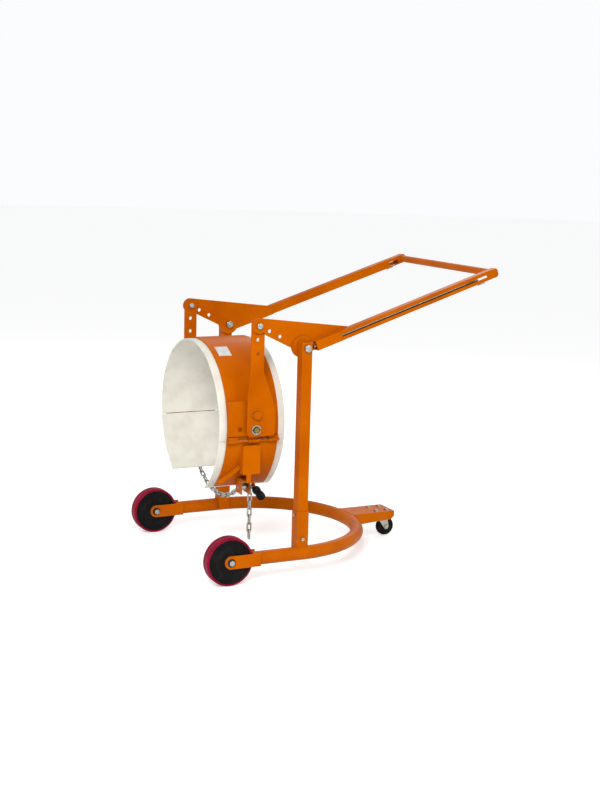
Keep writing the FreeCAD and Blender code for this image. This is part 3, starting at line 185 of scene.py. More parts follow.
def noise(tree, scale, detail=5.0, stretch=(1.0, 1.0, 1.0)):
    """Cloudy noise in the object's own space, stretched along its axes."""
    place = add(tree, "TexCoord").outputs["Object"]
    moved = add(tree, "Mapping", {"Vector": place, "Scale": stretch}).outputs[0]
    inputs = {"Vector": moved, "Scale": scale, "Detail": detail, "Roughness": NOISE_ROUGH}
    return add(tree, "TexNoise", inputs).outputs[0]


def calc(tree, operation, a, b=0.0, clamp=False):
    """Result of one Math node."""
    return add(tree, "Math", {0: a, 1: b}, operation=operation, use_clamp=clamp).outputs[0]


def between(tree, value, low, high):
    """value mapped from low..high to 0..1 and clamped."""
    inputs = {"Value": value, "From Min": low, "From Max": high}
    return add(tree, "MapRange", inputs, clamp=True).outputs[0]


def mixed(tree, share, a, b, blend="MIX"):
    """Colour a with a share of colour b; 0, 6 and 7 are the node's factor and colour inputs."""
    made = tree.nodes.new("ShaderNodeMix")
    made.data_type, made.blend_type = "RGBA", blend
    for index, value in ((0, share), (6, a), (7, b)):
        if isinstance(value, bpy.types.NodeSocket):
            tree.links.new(value, made.inputs[index])
        else:
            made.inputs[index].default_value = (*value, 1.0) if isinstance(value, tuple) else value
    return made.outputs[2]


def edge_mask(tree, radius):
    """1 on sharp convex edges, falling to 0 about a radius away."""
    rounded = add(tree, "Bevel", {"Radius": radius}, samples=MASK_SAMPLES).outputs[0]
    flat = add(tree, "NewGeometry").outputs["Normal"]
    dot = add(tree, "VectorMath", {0: rounded, 1: flat}, operation="DOT_PRODUCT").outputs["Value"]
    return between(tree, calc(tree, "SUBTRACT", 1.0, dot), EDGE_TURN_LOW, EDGE_TURN_HIGH)


def painted_shade_mask(tree, distance):
    """Mask for painted shade: 1 deep in corners, 0 on open faces."""
    corner = add(tree, "AmbientOcclusion", {"Distance": distance}, samples=MASK_SAMPLES)
    return between(tree, corner.outputs["AO"], OPEN_CORNER, DEEP_CORNER)


def scaled(tree, value, share):
    """value times share."""
    return calc(tree, "MULTIPLY", value, share)


def uneven(tree, least, spread, scale):
    """Roughness that wanders from least upwards by up to spread."""
    return calc(tree, "ADD", least, scaled(tree, noise(tree, scale), spread))


def near_floor(tree, height):
    """1 on the floor, falling to 0 at a height above it."""
    place = add(tree, "NewGeometry").outputs["Position"]
    z = add(tree, "SeparateXYZ", {0: place}).outputs["Z"]
    return between(tree, z, height, 0.0)


def surface(name, colour, rough, bumps, edge, **settings):
    """Principled material.  colour and rough are functions of the tree that give a socket, and
    bumps is one that gives a list of (height socket, depth in metres); edge is the edge rounding."""
    material = bpy.data.materials.new(name)
    material.use_nodes = True
    tree = material.node_tree
    tree.nodes.clear()
    normal = add(tree, "Bevel", {"Radius": edge}, samples=MASK_SAMPLES).outputs[0]
    for height, depth in bumps(tree):
        inputs = {"Height": height, "Distance": depth, "Normal": normal}
        normal = add(tree, "Bump", inputs).outputs[0]
    inputs = {"Base Color": colour(tree), "Roughness": rough(tree), "Normal": normal}
    for key, value in settings.items():
        inputs[key.replace("_", " ")] = value
    shader = add(tree, "BsdfPrincipled", inputs)
    add(tree, "OutputMaterial", {"Surface": shader.outputs[0]})
    return material


# ------------------------------------------------------------------ materials

def orange_paint():
    """Powder coat: cloudy orange, painted shade in the corners, dust on low parts, a painted highlight
    along the edges and a few chips.
    """
    def chips(tree):
        broken = between(tree, noise(tree, scale=260.0, detail=6.0), low=0.56, high=0.64)
        return calc(tree, "MULTIPLY", edge_mask(tree, radius=1.6 * MM), broken, clamp=True)

    def colour(tree):
        clouds = between(tree, noise(tree, scale=5.0), low=0.35, high=0.65)
        base = mixed(tree, clouds, ORANGE_DEEP, ORANGE)
        # Painted highlight: paler orange along convex edges.
        base = mixed(tree, scaled(tree, edge_mask(tree, radius=3.0 * MM), 0.35), base, ORANGE_HIGHLIGHT)
        # Painted shade: darker in corners and crevices, broken into patches.
        patches = between(tree, noise(tree, scale=40.0), low=0.3, high=0.7)
        corner_shade = calc(tree, "MULTIPLY", painted_shade_mask(tree, distance=18.0 * MM), patches)
        base = mixed(tree, scaled(tree, corner_shade, 0.5), base, CREVICE_SHADE)
        blown = between(tree, noise(tree, scale=22.0), low=0.45, high=0.8)
        dust = calc(tree, "MULTIPLY", near_floor(tree, height=0.25), blown)
        base = mixed(tree, scaled(tree, dust, 0.07), base, DUST)
        return mixed(tree, chips(tree), base, STEEL_CHIP_AND_SHADE)

    def rough(tree):
        return uneven(tree, least=0.27, spread=0.16, scale=30.0)

    def bumps(tree):
        streaks = noise(tree, scale=90.0, detail=8.0, stretch=(1.0, 0.06, 1.0))
        scratches = between(tree, streaks, low=0.62, high=0.7)
        orange_peel = noise(tree, scale=700.0, detail=2.0)
        waves = noise(tree, scale=45.0)
        return [(orange_peel, 0.10 * MM), (waves, 0.35 * MM), (scratches, -0.05 * MM)]

    return surface("orange_paint", colour, rough, bumps, edge=0.9 * MM, IOR=1.2,
                   Specular_Tint=SHEEN_ORANGE)


def metal(name, bright, shade_colour, tint, low_rough, metallic=0.95):
    """Plated or bare metal: crystalline mottling, dulled patches, painted shade in crevices, fine brushing.
    """
    def colour(tree):
        place = add(tree, "TexCoord").outputs["Object"]
        grains = add(tree, "TexVoronoi", {"Vector": place, "Scale": 320.0}).outputs["Color"]
        base = mixed(tree, 0.10, bright, grains, "OVERLAY")
        patches = between(tree, noise(tree, scale=35.0), low=0.45, high=0.7)
        base = mixed(tree, patches, base, tint)
        # Painted shade: darker in crevices.
        return mixed(tree, painted_shade_mask(tree, distance=8.0 * MM), base, shade_colour)

    def rough(tree):
        return uneven(tree, least=low_rough, spread=0.25, scale=120.0)

    def bumps(tree):
        grain = noise(tree, scale=1400.0, detail=2.0)
        brushing = noise(tree, scale=160.0, detail=4.0, stretch=(1.0, 1.0, 0.15))
        return [(grain, 0.04 * MM), (brushing, 0.06 * MM)]

    return surface(name, colour, rough, bumps, edge=0.5 * MM, Metallic=metallic)


def white_liner():
    """Off-white sheet rubber: fine fibre grain and handling stains, with painted shade making it darker in
    corners and towards its edges.
    """
    def colour(tree):
        stains = between(tree, noise(tree, scale=14.0), low=0.45, high=0.85)
        specks = between(tree, noise(tree, scale=240.0), low=0.5, high=0.8)
        base = mixed(tree, stains, LINER, LINER_STAIN_AND_SHADE)
        base = mixed(tree, scaled(tree, specks, 0.25), base, LINER_STAIN_AND_SHADE)
        # Painted shade: darker in corners and towards the edges.
        return mixed(tree, scaled(tree, painted_shade_mask(tree, distance=10.0 * MM), 0.5), base, LINER_STAIN_AND_SHADE)

    def rough(tree):
        return uneven(tree, least=0.72, spread=0.2, scale=60.0)

    def bumps(tree):
        fibres = noise(tree, scale=900.0, detail=3.0, stretch=(1.0, 0.35, 1.0))
        dents = noise(tree, scale=60.0)
        return [(fibres, 0.18 * MM), (dents, 0.5 * MM)]

    return surface("white_liner", colour, rough, bumps, edge=0.8 * MM, Sheen_Weight=0.15)


def crimson_tread():
    """Cast polyurethane: deep crimson with a scuffed running surface and painted shade in its corners."""
    def colour(tree):
        clouds = between(tree, noise(tree, scale=12.0), low=0.35, high=0.65)
        base = mixed(tree, clouds, CRIMSON_DEEP, CRIMSON)
        streaks = noise(tree, scale=130.0, detail=8.0, stretch=(0.25, 1.0, 1.0))
        scuffs = between(tree, streaks, low=0.54, high=0.72)
        base = mixed(tree, scaled(tree, scuffs, 0.45), base, CRIMSON_SCUFF)
        # Painted shade: darker in corners and grooves.
        return mixed(tree, scaled(tree, painted_shade_mask(tree, distance=6.0 * MM), 0.6), base, CREVICE_SHADE)

    def rough(tree):
        return uneven(tree, least=0.34, spread=0.3, scale=80.0)

    def bumps(tree):
        grain = noise(tree, scale=600.0, detail=3.0)
        nicks = noise(tree, scale=90.0, detail=6.0)
        return [(grain, 0.10 * MM), (nicks, 0.35 * MM)]

    return surface("crimson_tread", colour, rough, bumps, edge=1.2 * MM,
                   Specular_Tint=SHEEN_CRIMSON, Specular_IOR_Level=0.22,
                   Subsurface_Weight=0.03, Subsurface_Radius=(0.01, 0.002, 0.002))


def dark_polymer(name, low_rough, grain, dusty):
    """Moulded black plastic or rubber with rubbed edges and dust."""
    def colour(tree):
        rubbed = scaled(tree, edge_mask(tree, radius=2.0 * MM), 0.6)
        base = mixed(tree, rubbed, BLACK, BLACK_WORN)
        clouds = between(tree, noise(tree, scale=38.0, detail=7.0), low=0.48, high=0.8)
        return mixed(tree, scaled(tree, clouds, dusty), base, DUST)

    def rough(tree):
        return uneven(tree, least=low_rough, spread=0.2, scale=70.0)

    def bumps(tree):
        moulding = noise(tree, scale=grain, detail=2.0)
        sinks = noise(tree, scale=50.0)
        return [(moulding, 0.12 * MM), (sinks, 0.3 * MM)]

    return surface(name, colour, rough, bumps, edge=0.8 * MM, Specular_IOR_Level=0.09)


def blank_label():
    """Plain pale plate, finely brushed."""
    def colour(tree):
        return mixed(tree, between(tree, noise(tree, scale=60.0), low=0.4, high=0.7), PLATE, PLATE_DULL)

    def rough(tree):
        return uneven(tree, least=0.3, spread=0.2, scale=90.0)

    def bumps(tree):
        brushing = noise(tree, scale=300.0, detail=2.0, stretch=(0.1, 1.0, 1.0))
        return [(brushing, 0.05 * MM)]

    return surface("blank_label", colour, rough, bumps, edge=0.3 * MM)


MATERIALS = {
    "orange_paint": orange_paint(),
    "zinc_steel": metal("zinc_steel", STEEL, STEEL_CHIP_AND_SHADE, STEEL_WARM, low_rough=0.24),
    "dark_steel": metal("dark_steel", BLACK_WORN, BLACK, BLACK, low_rough=0.42, metallic=0.25),
    "brass": metal("brass", BRASS, BRASS_DULL_AND_SHADE, BRASS_DULL_AND_SHADE, low_rough=0.26),
    "white_liner": white_liner(),
    "crimson_tread": crimson_tread(),
    "black_plastic": dark_polymer("black_plastic", low_rough=0.38, grain=500.0, dusty=0.03),
    "grey_plastic": dark_polymer("grey_plastic", low_rough=0.42, grain=500.0, dusty=0.06),
    "black_rubber": dark_polymer("black_rubber", low_rough=0.58, grain=900.0, dusty=0.06),
    "blank_label": blank_label(),
}
SLOT_OF = {row["node"]: row["material_slot"] for row in RECORD["subparts"]}


def paint_nodes():
    """Every CAD node gets the material of its slot in the record."""
    for name, obj in NODES.items():
        material = MATERIALS[SLOT_OF[name]]
        if not obj.material_slots:
            obj.data.materials.append(material)
        for place in obj.material_slots:
            place.material = material


# ------------------------------------------------------------------ mesh helpers

def skin(rings, closed=False):
    """Quads between successive rings of points; an open skin gets end caps."""
    count = len(rings[0])
    points = [p for ring in rings for p in ring]
    faces = []
    for i in range(len(rings) if closed else len(rings) - 1):
        a, b = i * count, (i + 1) % len(rings) * count
        for j in range(count):
            k = (j + 1) % count
            faces.append((a + j, a + k, b + k, b + j))
    if not closed:
        faces.append(tuple(reversed(range(count))))
        faces.append(tuple(range((len(rings) - 1) * count, len(rings) * count)))
    return points, faces


def joined(parts):
    """Several (points, faces) meshes as one."""
    points, faces = [], []
    for part_points, part_faces in parts:
        start = len(points)
        points += part_points
        faces += [tuple(start + i for i in face) for face in part_faces]
    return points, faces


def piece(name, geometry, slot, body, stands_for=None, bevel=0.0):
    """A finished mesh riding on a body, with its normals outward and its hard edges kept."""
    mesh = bpy.data.meshes.new(name)
    mesh.from_pydata([tuple(p) for p in geometry[0]], [], geometry[1])
    work = bmesh.new()
    work.from_mesh(mesh)
    bmesh.ops.recalc_face_normals(work, faces=work.faces)
    work.to_mesh(mesh)
    work.free()
    mesh.shade_smooth()
    mesh.set_sharp_from_angle(angle=SMOOTH_ANGLE)
    mesh.materials.append(MATERIALS[slot])
    obj = bpy.data.objects.new(name, mesh)
    bpy.context.scene.collection.objects.link(obj)
    if bevel:
        rounding = obj.modifiers.new("edges", "BEVEL")
        rounding.width, rounding.segments = bevel, BEVEL_SEGMENTS
        rounding.limit_method, rounding.angle_limit = "ANGLE", SMOOTH_ANGLE
    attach(obj, body)
    if stands_for:
        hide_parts(stands_for)


def stand_for(node, geometry):
    """A finer mesh in place of one CAD node."""
    piece(node + "_fine", geometry, SLOT_OF[node], NODES[node]["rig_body"], node)


def across(axis):
    """Two unit vectors square to axis."""
    helper = Vector((0, 0, 1)) if abs(axis.z) < NEARLY_UPRIGHT else Vector((1, 0, 0))
    side = axis.cross(helper).normalized()
    return side, axis.cross(side).normalized()


def ring_of(centre, side, up, radius, count):
    """Points around a circle in the plane of two unit vectors."""
    return [centre + (side * math.cos(a) + up * math.sin(a)) * radius
            for a in (2 * math.pi * j / count for j in range(count))]


def lathe(profile, centre, axis, steps=LATHE_STEPS):
    """Closed (radius, along) profile turned about an axis."""
    side, up = across(axis)
    rings = []
    for i in range(steps):
        angle = 2 * math.pi * i / steps
        out = side * math.cos(angle) + up * math.sin(angle)
        rings.append([centre + out * r + axis * along for r, along in profile])
    return skin(rings, closed=True)


def both_halves(profile):
    """A half profile followed by its mirror image."""
    return profile + [(r, -along) for r, along in reversed(profile)]


def vertices_of(node):
    """Vertex array of one CAD node."""
    return np.array([tuple(v.co) for v in NODES[node].data.vertices])


def solids_of(node):
    """Vertex arrays of the separate solids in a CAD node."""
    work = bmesh.new()
    work.from_mesh(NODES[node].data)
    bmesh.ops.remove_doubles(work, verts=work.verts, dist=MERGE_DISTANCE)
    left = set(work.verts)
    found = []
    while left:
        seed = left.pop()
        group, front = [seed], [seed]
        while front:
            for edge in front.pop().link_edges:
                for vert in edge.verts:
                    if vert in left:
                        left.remove(vert)
                        group.append(vert)
                        front.append(vert)
        found.append(np.array([tuple(v.co) for v in group]))
    work.free()
    return sorted(found, key=lambda g: tuple(np.round(g.mean(0), 5)))


def box_centre(node):
    """Middle of a CAD node's bounding box."""
    low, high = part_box(node)
    return (low + high) / 2


# ------------------------------------------------------------------ wheels

def wheels():
    """Cast treads with rounded shoulders and a parting line, on moulded cores with raised hubs."""
    for side in ("left", "right"):
        low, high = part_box(side + "_wheel_tread")
        core_low, core_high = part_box(side + "_wheel_core")
        centre = (low + high) / 2
        outer, half = (high.z - low.z) / 2, (high.x - low.x) / 2
        inner = (core_high.z - core_low.z) / 2
        tread = tread_profile(inner, outer, half, TREAD_SHOULDER, TREAD_LINE)
        stand_for(side + "_wheel_tread", lathe(tread, centre, AXLE, WHEEL_STEPS))
        stand_for(side + "_wheel_core", lathe(core_profile(inner, half), centre, AXLE, WHEEL_STEPS))


def tread_profile(inner, outer, half, shoulder, line):
    """Half outline from the bore over the shoulder to the parting line, and its mirror image."""
    side = [(inner, half - TREAD_FOOT_X), (inner + TREAD_FOOT_R, half)]
    for i in range(SHOULDER_STEPS + 1):
        angle = math.pi / 2 * i / SHOULDER_STEPS
        side.append((outer - shoulder * (1.0 - math.sin(angle)), half - shoulder * (1.0 - math.cos(angle))))
    side += [(outer, half * CROWN_SHARE), (outer, LINE_START), (outer - line, LINE_FOOT)]
    return both_halves(side)


def core_profile(rim, half):
    """Hub, shallow dished web with a moulded step, and rim lip."""
    web = half - CORE_DISH
    step = web - CORE_STEP
    step_start, step_floor, step_rise, step_end = (rim * share for share in CORE_STEP_AT)
    lip_foot, lip_shoulder, lip_top = (rim - back for back in CORE_LIP_BACK)
    side = [(CORE_BORE, half), (CORE_HUB - CORE_HUB_ROUND, half)]
    side += [(CORE_HUB, half - CORE_HUB_FOOT), (CORE_HUB + CORE_HUB_FOOT, web)]
    side += [(step_start, web), (step_floor, step), (step_rise, step), (step_end, web)]
    side += [(lip_foot, web), (lip_shoulder, half - CORE_LIP_DROP), (lip_top, half)]
    side += [(rim - CORE_RIM_R, half), (rim, half - CORE_RIM_X)]
    return both_halves(side)


def axle_seals():
    """Black seal ring around each axle nut on the inner fork plate."""
    middle = box_centre("axle_rings")
    inner_face = min(float(np.abs(points[:, 0]).min()) for points in solids_of("fork_plates"))
    profile = [(SEAL_IN, 0), (SEAL_OUT - SEAL_EDGE, 0), (SEAL_OUT, SEAL_EDGE)]
    profile += [(SEAL_OUT, SEAL_T), (SEAL_IN, SEAL_T)]
    made = []
    for side in (1, -1):
        place = Vector((side * (inner_face - SEAL_T), middle.y, middle.z))
        made.append(lathe(profile, place, AXLE * side, SMALL_STEPS))
    piece("axle_seals", joined(made), "black_rubber", "base")


def caster_wheel():
    """Narrow moulded tyre with round shoulders."""
    low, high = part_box("caster_tyre")
    hub_low, hub_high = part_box("caster_hub")
    inner = (hub_high.z - hub_low.z) / 2
    outer, half = (high.z - low.z) / 2, (high.x - low.x) / 2
    tyre = tread_profile(inner, outer, half, TYRE_SHOULDER, TYRE_LINE)
    stand_for("caster_tyre", lathe(tyre, (low + high) / 2, AXLE))


# ------------------------------------------------------------------ grip and liners

def grip():
    """Ribbed dog-bone grip: its axis runs from the ratchet shaft through the middle of the CAD grip."""
    middle = box_centre("ratchet_grip")
    spool = box_centre("ratchet_spool")
    shaft = Vector((spool.x, middle.y, spool.z))
    points = vertices_of("ratchet_grip")
    axis = Vector(points.mean(0)) - shaft
    axis.y = 0
    axis.normalize()
    from_shaft = points - np.array(shaft)
    along = from_shaft @ np.array(axis)
    start, end = float(along.min()), float(along.max())
    side, up = across(axis)
    radius = max(float(np.abs(from_shaft @ np.array(s)).max()) for s in (side, up))
    rings = []
    for i in range(GRIP_STEPS + 1):
        share = i / GRIP_STEPS
        centre = shaft + axis * (start + share * (end - start))
        rings.append(ring_of(centre, side, up, radius * grip_fullness(share), GRIP_SIDES))
    stand_for("ratchet_grip", skin(rings))


def grip_fullness(share):
    """Radius along the grip, 0..1: waisted middle with finger ribs, rounded ends."""
    waist = 1.0 - WAIST_DEPTH * math.exp(-((share - WAIST_AT) / WAIST_WIDTH) ** 2)
    ribs = RIB_DEPTH * math.cos(share * RIB_WAVES * math.pi) if RIB_START < share < RIB_END else 0.0
    into_end = max(0.0, abs(share - 0.5) * 2 - END_FLAT)
    ends = math.sqrt(max(END_LEAST, 1.0 - into_end ** 2 / END_ROUND ** 2))
    return GRIP_FULLNESS * (waist + ribs - RIB_DEPTH) * ends


def seat_point(radius, degrees, y):
    angle = math.radians(degrees)
    return Vector((SEAT_AT.x + radius * math.cos(angle), y, SEAT_AT.z + radius * math.sin(angle)))


def liners():
    for node in ("saddle_liner", "left_flap_liner", "right_flap_liner"):
        stand_for(node, liner_strip(node))


def liner_strip(node):
    """Thick sheet bent round the seat, its cut edges slightly uneven and its corners rounded."""
    points = vertices_of(node)
    angles = np.degrees(np.arctan2(points[:, 2] - SEAT_AT.z, points[:, 0] - SEAT_AT.x))
    angles = np.where(angles < -90.0, angles + 360.0, angles)  # no jump at the 180 degree side
    first, last = float(angles.min()), float(angles.max())
    radii = np.hypot(points[:, 0] - SEAT_AT.x, points[:, 2] - SEAT_AT.z)
    inner, outer = float(radii.min()), float(radii.max())
    y0, y1 = float(points[:, 1].min()) + LINER_INSET, float(points[:, 1].max()) - LINER_INSET
    count = max(LINER_LEAST_STEPS, round((last - first) / LINER_STEP_DEG))
    rings = []
    for i in range(count + 1):
        degrees = first + (last - first) * i / count
        sway, ripple = (degrees * rate for rate in LINER_SWAY)
        wave = LINER_WAVE * (math.sin(sway) + LINER_RIPPLE * math.sin(ripple + LINER_RIPPLE_AT))
        rings.append(strip_section(inner, outer, y0 + wave, y1 + wave * LINER_FAR, degrees))
    return skin(rings)


def strip_section(inner, outer, y0, y1, degrees):
    """Flat rounded section with enough points across to stay smooth."""
    middle, half = (inner + outer) / 2, (outer - inner) / 2
    ys = [y0, y0 + LINER_CORNER, y0 + LINER_BORDER, (y0 + y1) / 2]
    ys += [y1 - LINER_BORDER, y1 - LINER_CORNER, y1]
    section = []
    for outward, order in ((1, ys), (-1, reversed(ys))):
        for y in order:
            reach = half - LINER_CORNER if y in (y0, y1) else half
            section.append(seat_point(middle + outward * reach, degrees, y))
    return section


# ------------------------------------------------------------------ hardware

def hex_radius(across_flats, angle):
    """Distance from the middle of a hexagon to its outline."""
    turn = (angle + math.pi / 6) % (math.pi / 3) - math.pi / 6
    return across_flats / 2 / math.cos(turn)


def hex_solid(start, axis, across_flats, height, bore=None):
    """Hexagon with the curved chamfer of a real head or nut at its far face."""
    side, up = across(axis)
    flat_r = across_flats / 2 * HEX_FLAT
    foot, shoulder, face = [], [], []
    for j in range(HEX_STEPS):
        angle = 2 * math.pi * j / HEX_STEPS
        out = side * math.cos(angle) + up * math.sin(angle)
        r = hex_radius(across_flats, angle)
        foot.append(start + out * r)
        shoulder.append(start + out * r + axis * (height - (r - flat_r) * HEX_CHAMFER))
        face.append(start + out * flat_r + axis * height)
    levels = [foot, shoulder, face]
    if bore is None:
        return skin(levels)
    sink = bore * COUNTERSINK
    for radius, z in ((bore + sink, height), (bore, height - sink), (bore, 0.0)):
        levels.append(ring_of(start + axis * z, side, up, radius, HEX_STEPS))
    return skin(levels, closed=True)


def threaded(start, axis, radius, length, plain):
    """Shank: plain for a while, then a helical thread with a chamfered end."""
    side, up = across(axis)
    pitch, core = radius * THREAD_PITCH, radius * SHANK_FIT
    rings = [ring_of(start, side, up, core, THREAD_SIDES)]
    z = plain
    while z < length:
        taper = max(0.0, z - (length - pitch)) * THREAD_TAPER
        ring = []
        for j in range(THREAD_SIDES):
            angle = 2 * math.pi * j / THREAD_SIDES
            phase = (z / pitch - j / THREAD_SIDES) % 1.0
            depth = THREAD_DEPTH * radius * abs(2 * phase - 1)
            out = side * math.cos(angle) + up * math.sin(angle)
            ring.append(start + out * (core - depth - taper) + axis * z)
        rings.append(ring)
        z += pitch / THREAD_RINGS
    return skin(rings)


def hardware_geometry(points):
    """Bolt, nut or washer read from one solid of a fastener node."""
    low, high = Vector(points.min(0)), Vector(points.max(0))
    size, middle = high - low, (low + high) / 2
    order = sorted(range(3), key=lambda i: size[i])
    is_bolt = size[order[2]] > BOLT_SLENDERNESS * size[order[1]]
    axis_index = order[2] if is_bolt else order[0]
    axis = Vector([1.0 if i == axis_index else 0.0 for i in range(3)])
    i, j = (k for k in range(3) if k != axis_index)
    radial = np.hypot(points[:, i] - middle[i], points[:, j] - middle[j])
    length = size[axis_index]
    base = middle - axis * length / 2
    if length < WASHER_MOST:
        return washer(base, axis, float(radial.min()), float(radial.max()), length)
    across_flats = float(radial.max()) * math.sqrt(3.0)
    if not is_bolt:
        return hex_solid(base, axis, across_flats, length, float(radial.min()))
    along = points[:, axis_index] - base[axis_index]
    return bolt(base, axis, across_flats, length, radial, along)


def washer(base, axis, hole, rim, thickness):
    """Flat ring with bevelled rims."""
    far = thickness - WASHER_BEVEL
    profile = [(hole, 0), (rim - WASHER_BEVEL, 0), (rim, WASHER_BEVEL)]
    profile += [(rim, far), (rim - WASHER_BEVEL, thickness), (hole, thickness)]
    return lathe(profile, base, axis, SMALL_STEPS)


def bolt(base, axis, across_flats, length, radial, along):
    """Hexagon head and threaded shank; radial and along place the vertices of the CAD bolt."""
    shank_r = float(radial.min()) if radial.min() > MM else float(np.sort(radial)[len(radial) // 4])
    head = along[radial > HEAD_WIDER * shank_r]
    if head.min() < length / 2:
        height = float(head.max())
        head_start, outward = base + axis * height, -axis
    else:
        height = float(length - head.min())
        head_start, outward = base + axis * (length - height), axis
    shank = length - height
    plain = max(0.0, shank - THREADED_RADII * shank_r)
    return joined([hex_solid(head_start, outward, across_flats, height),
                   threaded(head_start, -outward, shank_r, shank, plain)])


def trunnion_hardware():
    """Pale thrust washers and dark retaining clips; the ears make a clip longer than it is high."""
    washers, clips = [], []
    for points in solids_of("trunnion_hardware"):
        low, high = Vector(points.min(0)), Vector(points.max(0))
        middle, size = (low + high) / 2, high - low
        if size.y - size.z < MM:
            washers.append(hardware_geometry(points))
        else:
            clips.append(clip_geometry(middle, size))
    body = NODES["trunnion_hardware"]["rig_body"]
    piece("trunnion_washers", joined(washers), "zinc_steel", body, "trunnion_hardware")
    piece("trunnion_clips", joined(clips), "dark_steel", body, bevel=CLIP_BEVEL)


def clip_geometry(middle, size):
    """Sprung flat clip: an open ring with two ears, as one swept strip."""
    inner, outer = size.z * CLIP_INNER, size.z * CLIP_OUTER
    centre = Vector((middle.x, middle.y, SEAT_AT.z))
    half = Vector((size.x / 2, 0, 0))
    rings = []
    for i in range(CLIP_STEPS + 1):
        angle = math.radians(CLIP_START_DEG + CLIP_SWEEP_DEG * i / CLIP_STEPS)
        ear = math.exp(-((abs(math.sin(angle)) / CLIP_EAR_WIDTH) ** 2)) * (size.y / 2 - outer)
        out = Vector((0, math.cos(angle), math.sin(angle)))
        near, far = centre + out * inner, centre + out * (outer + ear)
        rings.append([near - half, far - half, far + half, near + half])
    return skin(rings)


def hardware():
    """Chamfered heads, threads and bevelled washers in place of the plain CAD fasteners."""
    for node in ("socket_fasteners", "pivot_fasteners", "axle_fasteners", "caster_fasteners",
                 "tip_fasteners", "caster_axle"):
        stand_for(node, joined([hardware_geometry(points) for points in solids_of(node)]))


# ------------------------------------------------------------------ chain

def chain_link(points):
    """Bent and butt-welded round-wire link, laid on the long and wide axes of one CAD link."""
    centre = points.mean(0)
    axes = np.linalg.eigh(np.cov((points - centre).T))[1]
    thin, wide, along = (Vector(axes[:, i]) for i in range(3))
    local = points - centre
    half_length, half_width, wire = (float(np.abs(local @ np.array(a)).max()) for a in (along, wide, thin))
    bend = half_width - wire
    straight = half_length - wire - bend
    path = []
    for end in (1, -1):
        for i in range(BEND_STEPS + 1):
            angle = math.pi * i / BEND_STEPS
            reach = straight + bend * math.sin(angle)
            path.append(along * (end * reach) + wide * (end * bend * math.cos(angle)))
    rings = []
    for i, place in enumerate(path):
        ahead = (path[(i + 1) % len(path)] - path[i - 1]).normalized()
        rings.append(ring_of(Vector(centre) + place, thin.cross(ahead), thin, wire, WIRE_SIDES))
    weld = Vector(centre) - wide * bend
    return joined([skin(rings, closed=True), weld_collar(weld, along, wire)])


def weld_collar(centre, along, wire):
    """Slightly thicker ring where the wire ends were welded together."""
    side, up = across(along)
    rings = []
    for i in range(COLLAR_STEPS + 1):
        t = -1 + 2 * i / COLLAR_STEPS
        size = wire * (COLLAR_BASE + COLLAR_SWELL * math.cos(t * math.pi / 2))
        rings.append(ring_of(centre + along * (t * wire * COLLAR_HALF), side, up, size, WIRE_SIDES))
    return skin(rings)


def chains():
    for node in ("tension_chain", "tail_chain"):
        stand_for(node, joined([chain_link(points) for points in solids_of(node)]))


# ------------------------------------------------------------------ weld beads

def resampled(path, step):
    """Points about a step apart along a polyline."""
    points = [path[0]]
    for a, b in zip(path, path[1:]):
        count = max(1, round((b - a).length / step))
        points += [a.lerp(b, (i + 1) / count) for i in range(count)]
    return points


def bead(path, radius):
    """Rippled weld bead along a path, tapered at both ends."""
    points = resampled(path, BEAD_STEP)
    total = len(points) - 1
    rings = []
    for i, point in enumerate(points):
        ahead = (points[min(i + 1, total)] - points[max(i - 1, 0)]).normalized()
        side, up = across(ahead)
        phase = (i * BEAD_STEP / RIPPLE_PITCH) % 1.0
        taper = min(1.0, (min(i, total - i) + 1) * BEAD_STEP / (BEAD_TAPER * radius))
        size = radius * (1.0 - RIPPLE * phase) * math.sqrt(taper)
        rings.append(ring_of(point, side, up, size, BEAD_SIDES))
    return skin(rings)


def circle(centre, radius, axis):
    """Closed polyline around an axis."""
    side, up = across(axis)
    return [centre + (side * math.cos(t) + up * math.sin(t)) * radius
            for t in (2 * math.pi * i / CIRCLE_STEPS for i in range(CIRCLE_STEPS + 1))]


def other_side(paths):
    """The same paths mirrored to the other side of the dolly."""
    return [[LEFT_TO_RIGHT @ p for p in path] for path in paths]


def shell_x(z):
    """Half width of the saddle shell at a height."""
    shell_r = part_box("saddle_shell")[1].z - SEAT_AT.z
    return math.sqrt(shell_r ** 2 - (z - SEAT_AT.z) ** 2)


def evenly(low, high, steps):
    """Values from low to high in equal steps."""
    return [low + (high - low) * i / steps for i in range(steps + 1)]


def welds(name, body, paths, radius=BEAD_R):
    """One painted piece with a bead along each path."""
    piece(name, joined([bead(path, radius) for path in paths]), "orange_paint", body)


def base_welds():
    """Beads of the sockets, fork plates, latch discs and caster leg on the bent tube of the base."""
    low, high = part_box("base_hoop")
    tube_r = (high.z - low.z) / 2
    tube = Vector((high.x - tube_r, low.y, (high.z + low.z) / 2))
    paths = socket_paths(tube, tube_r)
    paths.append(circle(tube, tube_r - BEAD_R * HOOP_END_SINK, Vector((0, 1, 0))))
    paths += fork_paths(tube, tube_r)
    paths.append(disc_path())
    bend_y = high.y - tube_r - tube.x
    paths += other_side(paths) + [leg_path(tube, tube_r, bend_y)]
    welds("base_welds", "base", paths)


def socket_paths(tube, tube_r):
    """Over the tube before and behind the post socket, and along its outer side."""
    low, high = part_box("post_sockets")
    paths = []
    for y in (low.y, high.y):
        xs = evenly(tube.x - tube_r * SOCKET_REACH, high.x, SOCKET_STEPS)
        paths.append([Vector((x, y, tube.z + math.sqrt(tube_r ** 2 - (x - tube.x) ** 2))) for x in xs])
    z = tube.z + math.sqrt(tube_r ** 2 - (high.x - tube.x) ** 2)
    paths.append([Vector((high.x, low.y, z)), Vector((high.x, high.y, z))])
    return paths


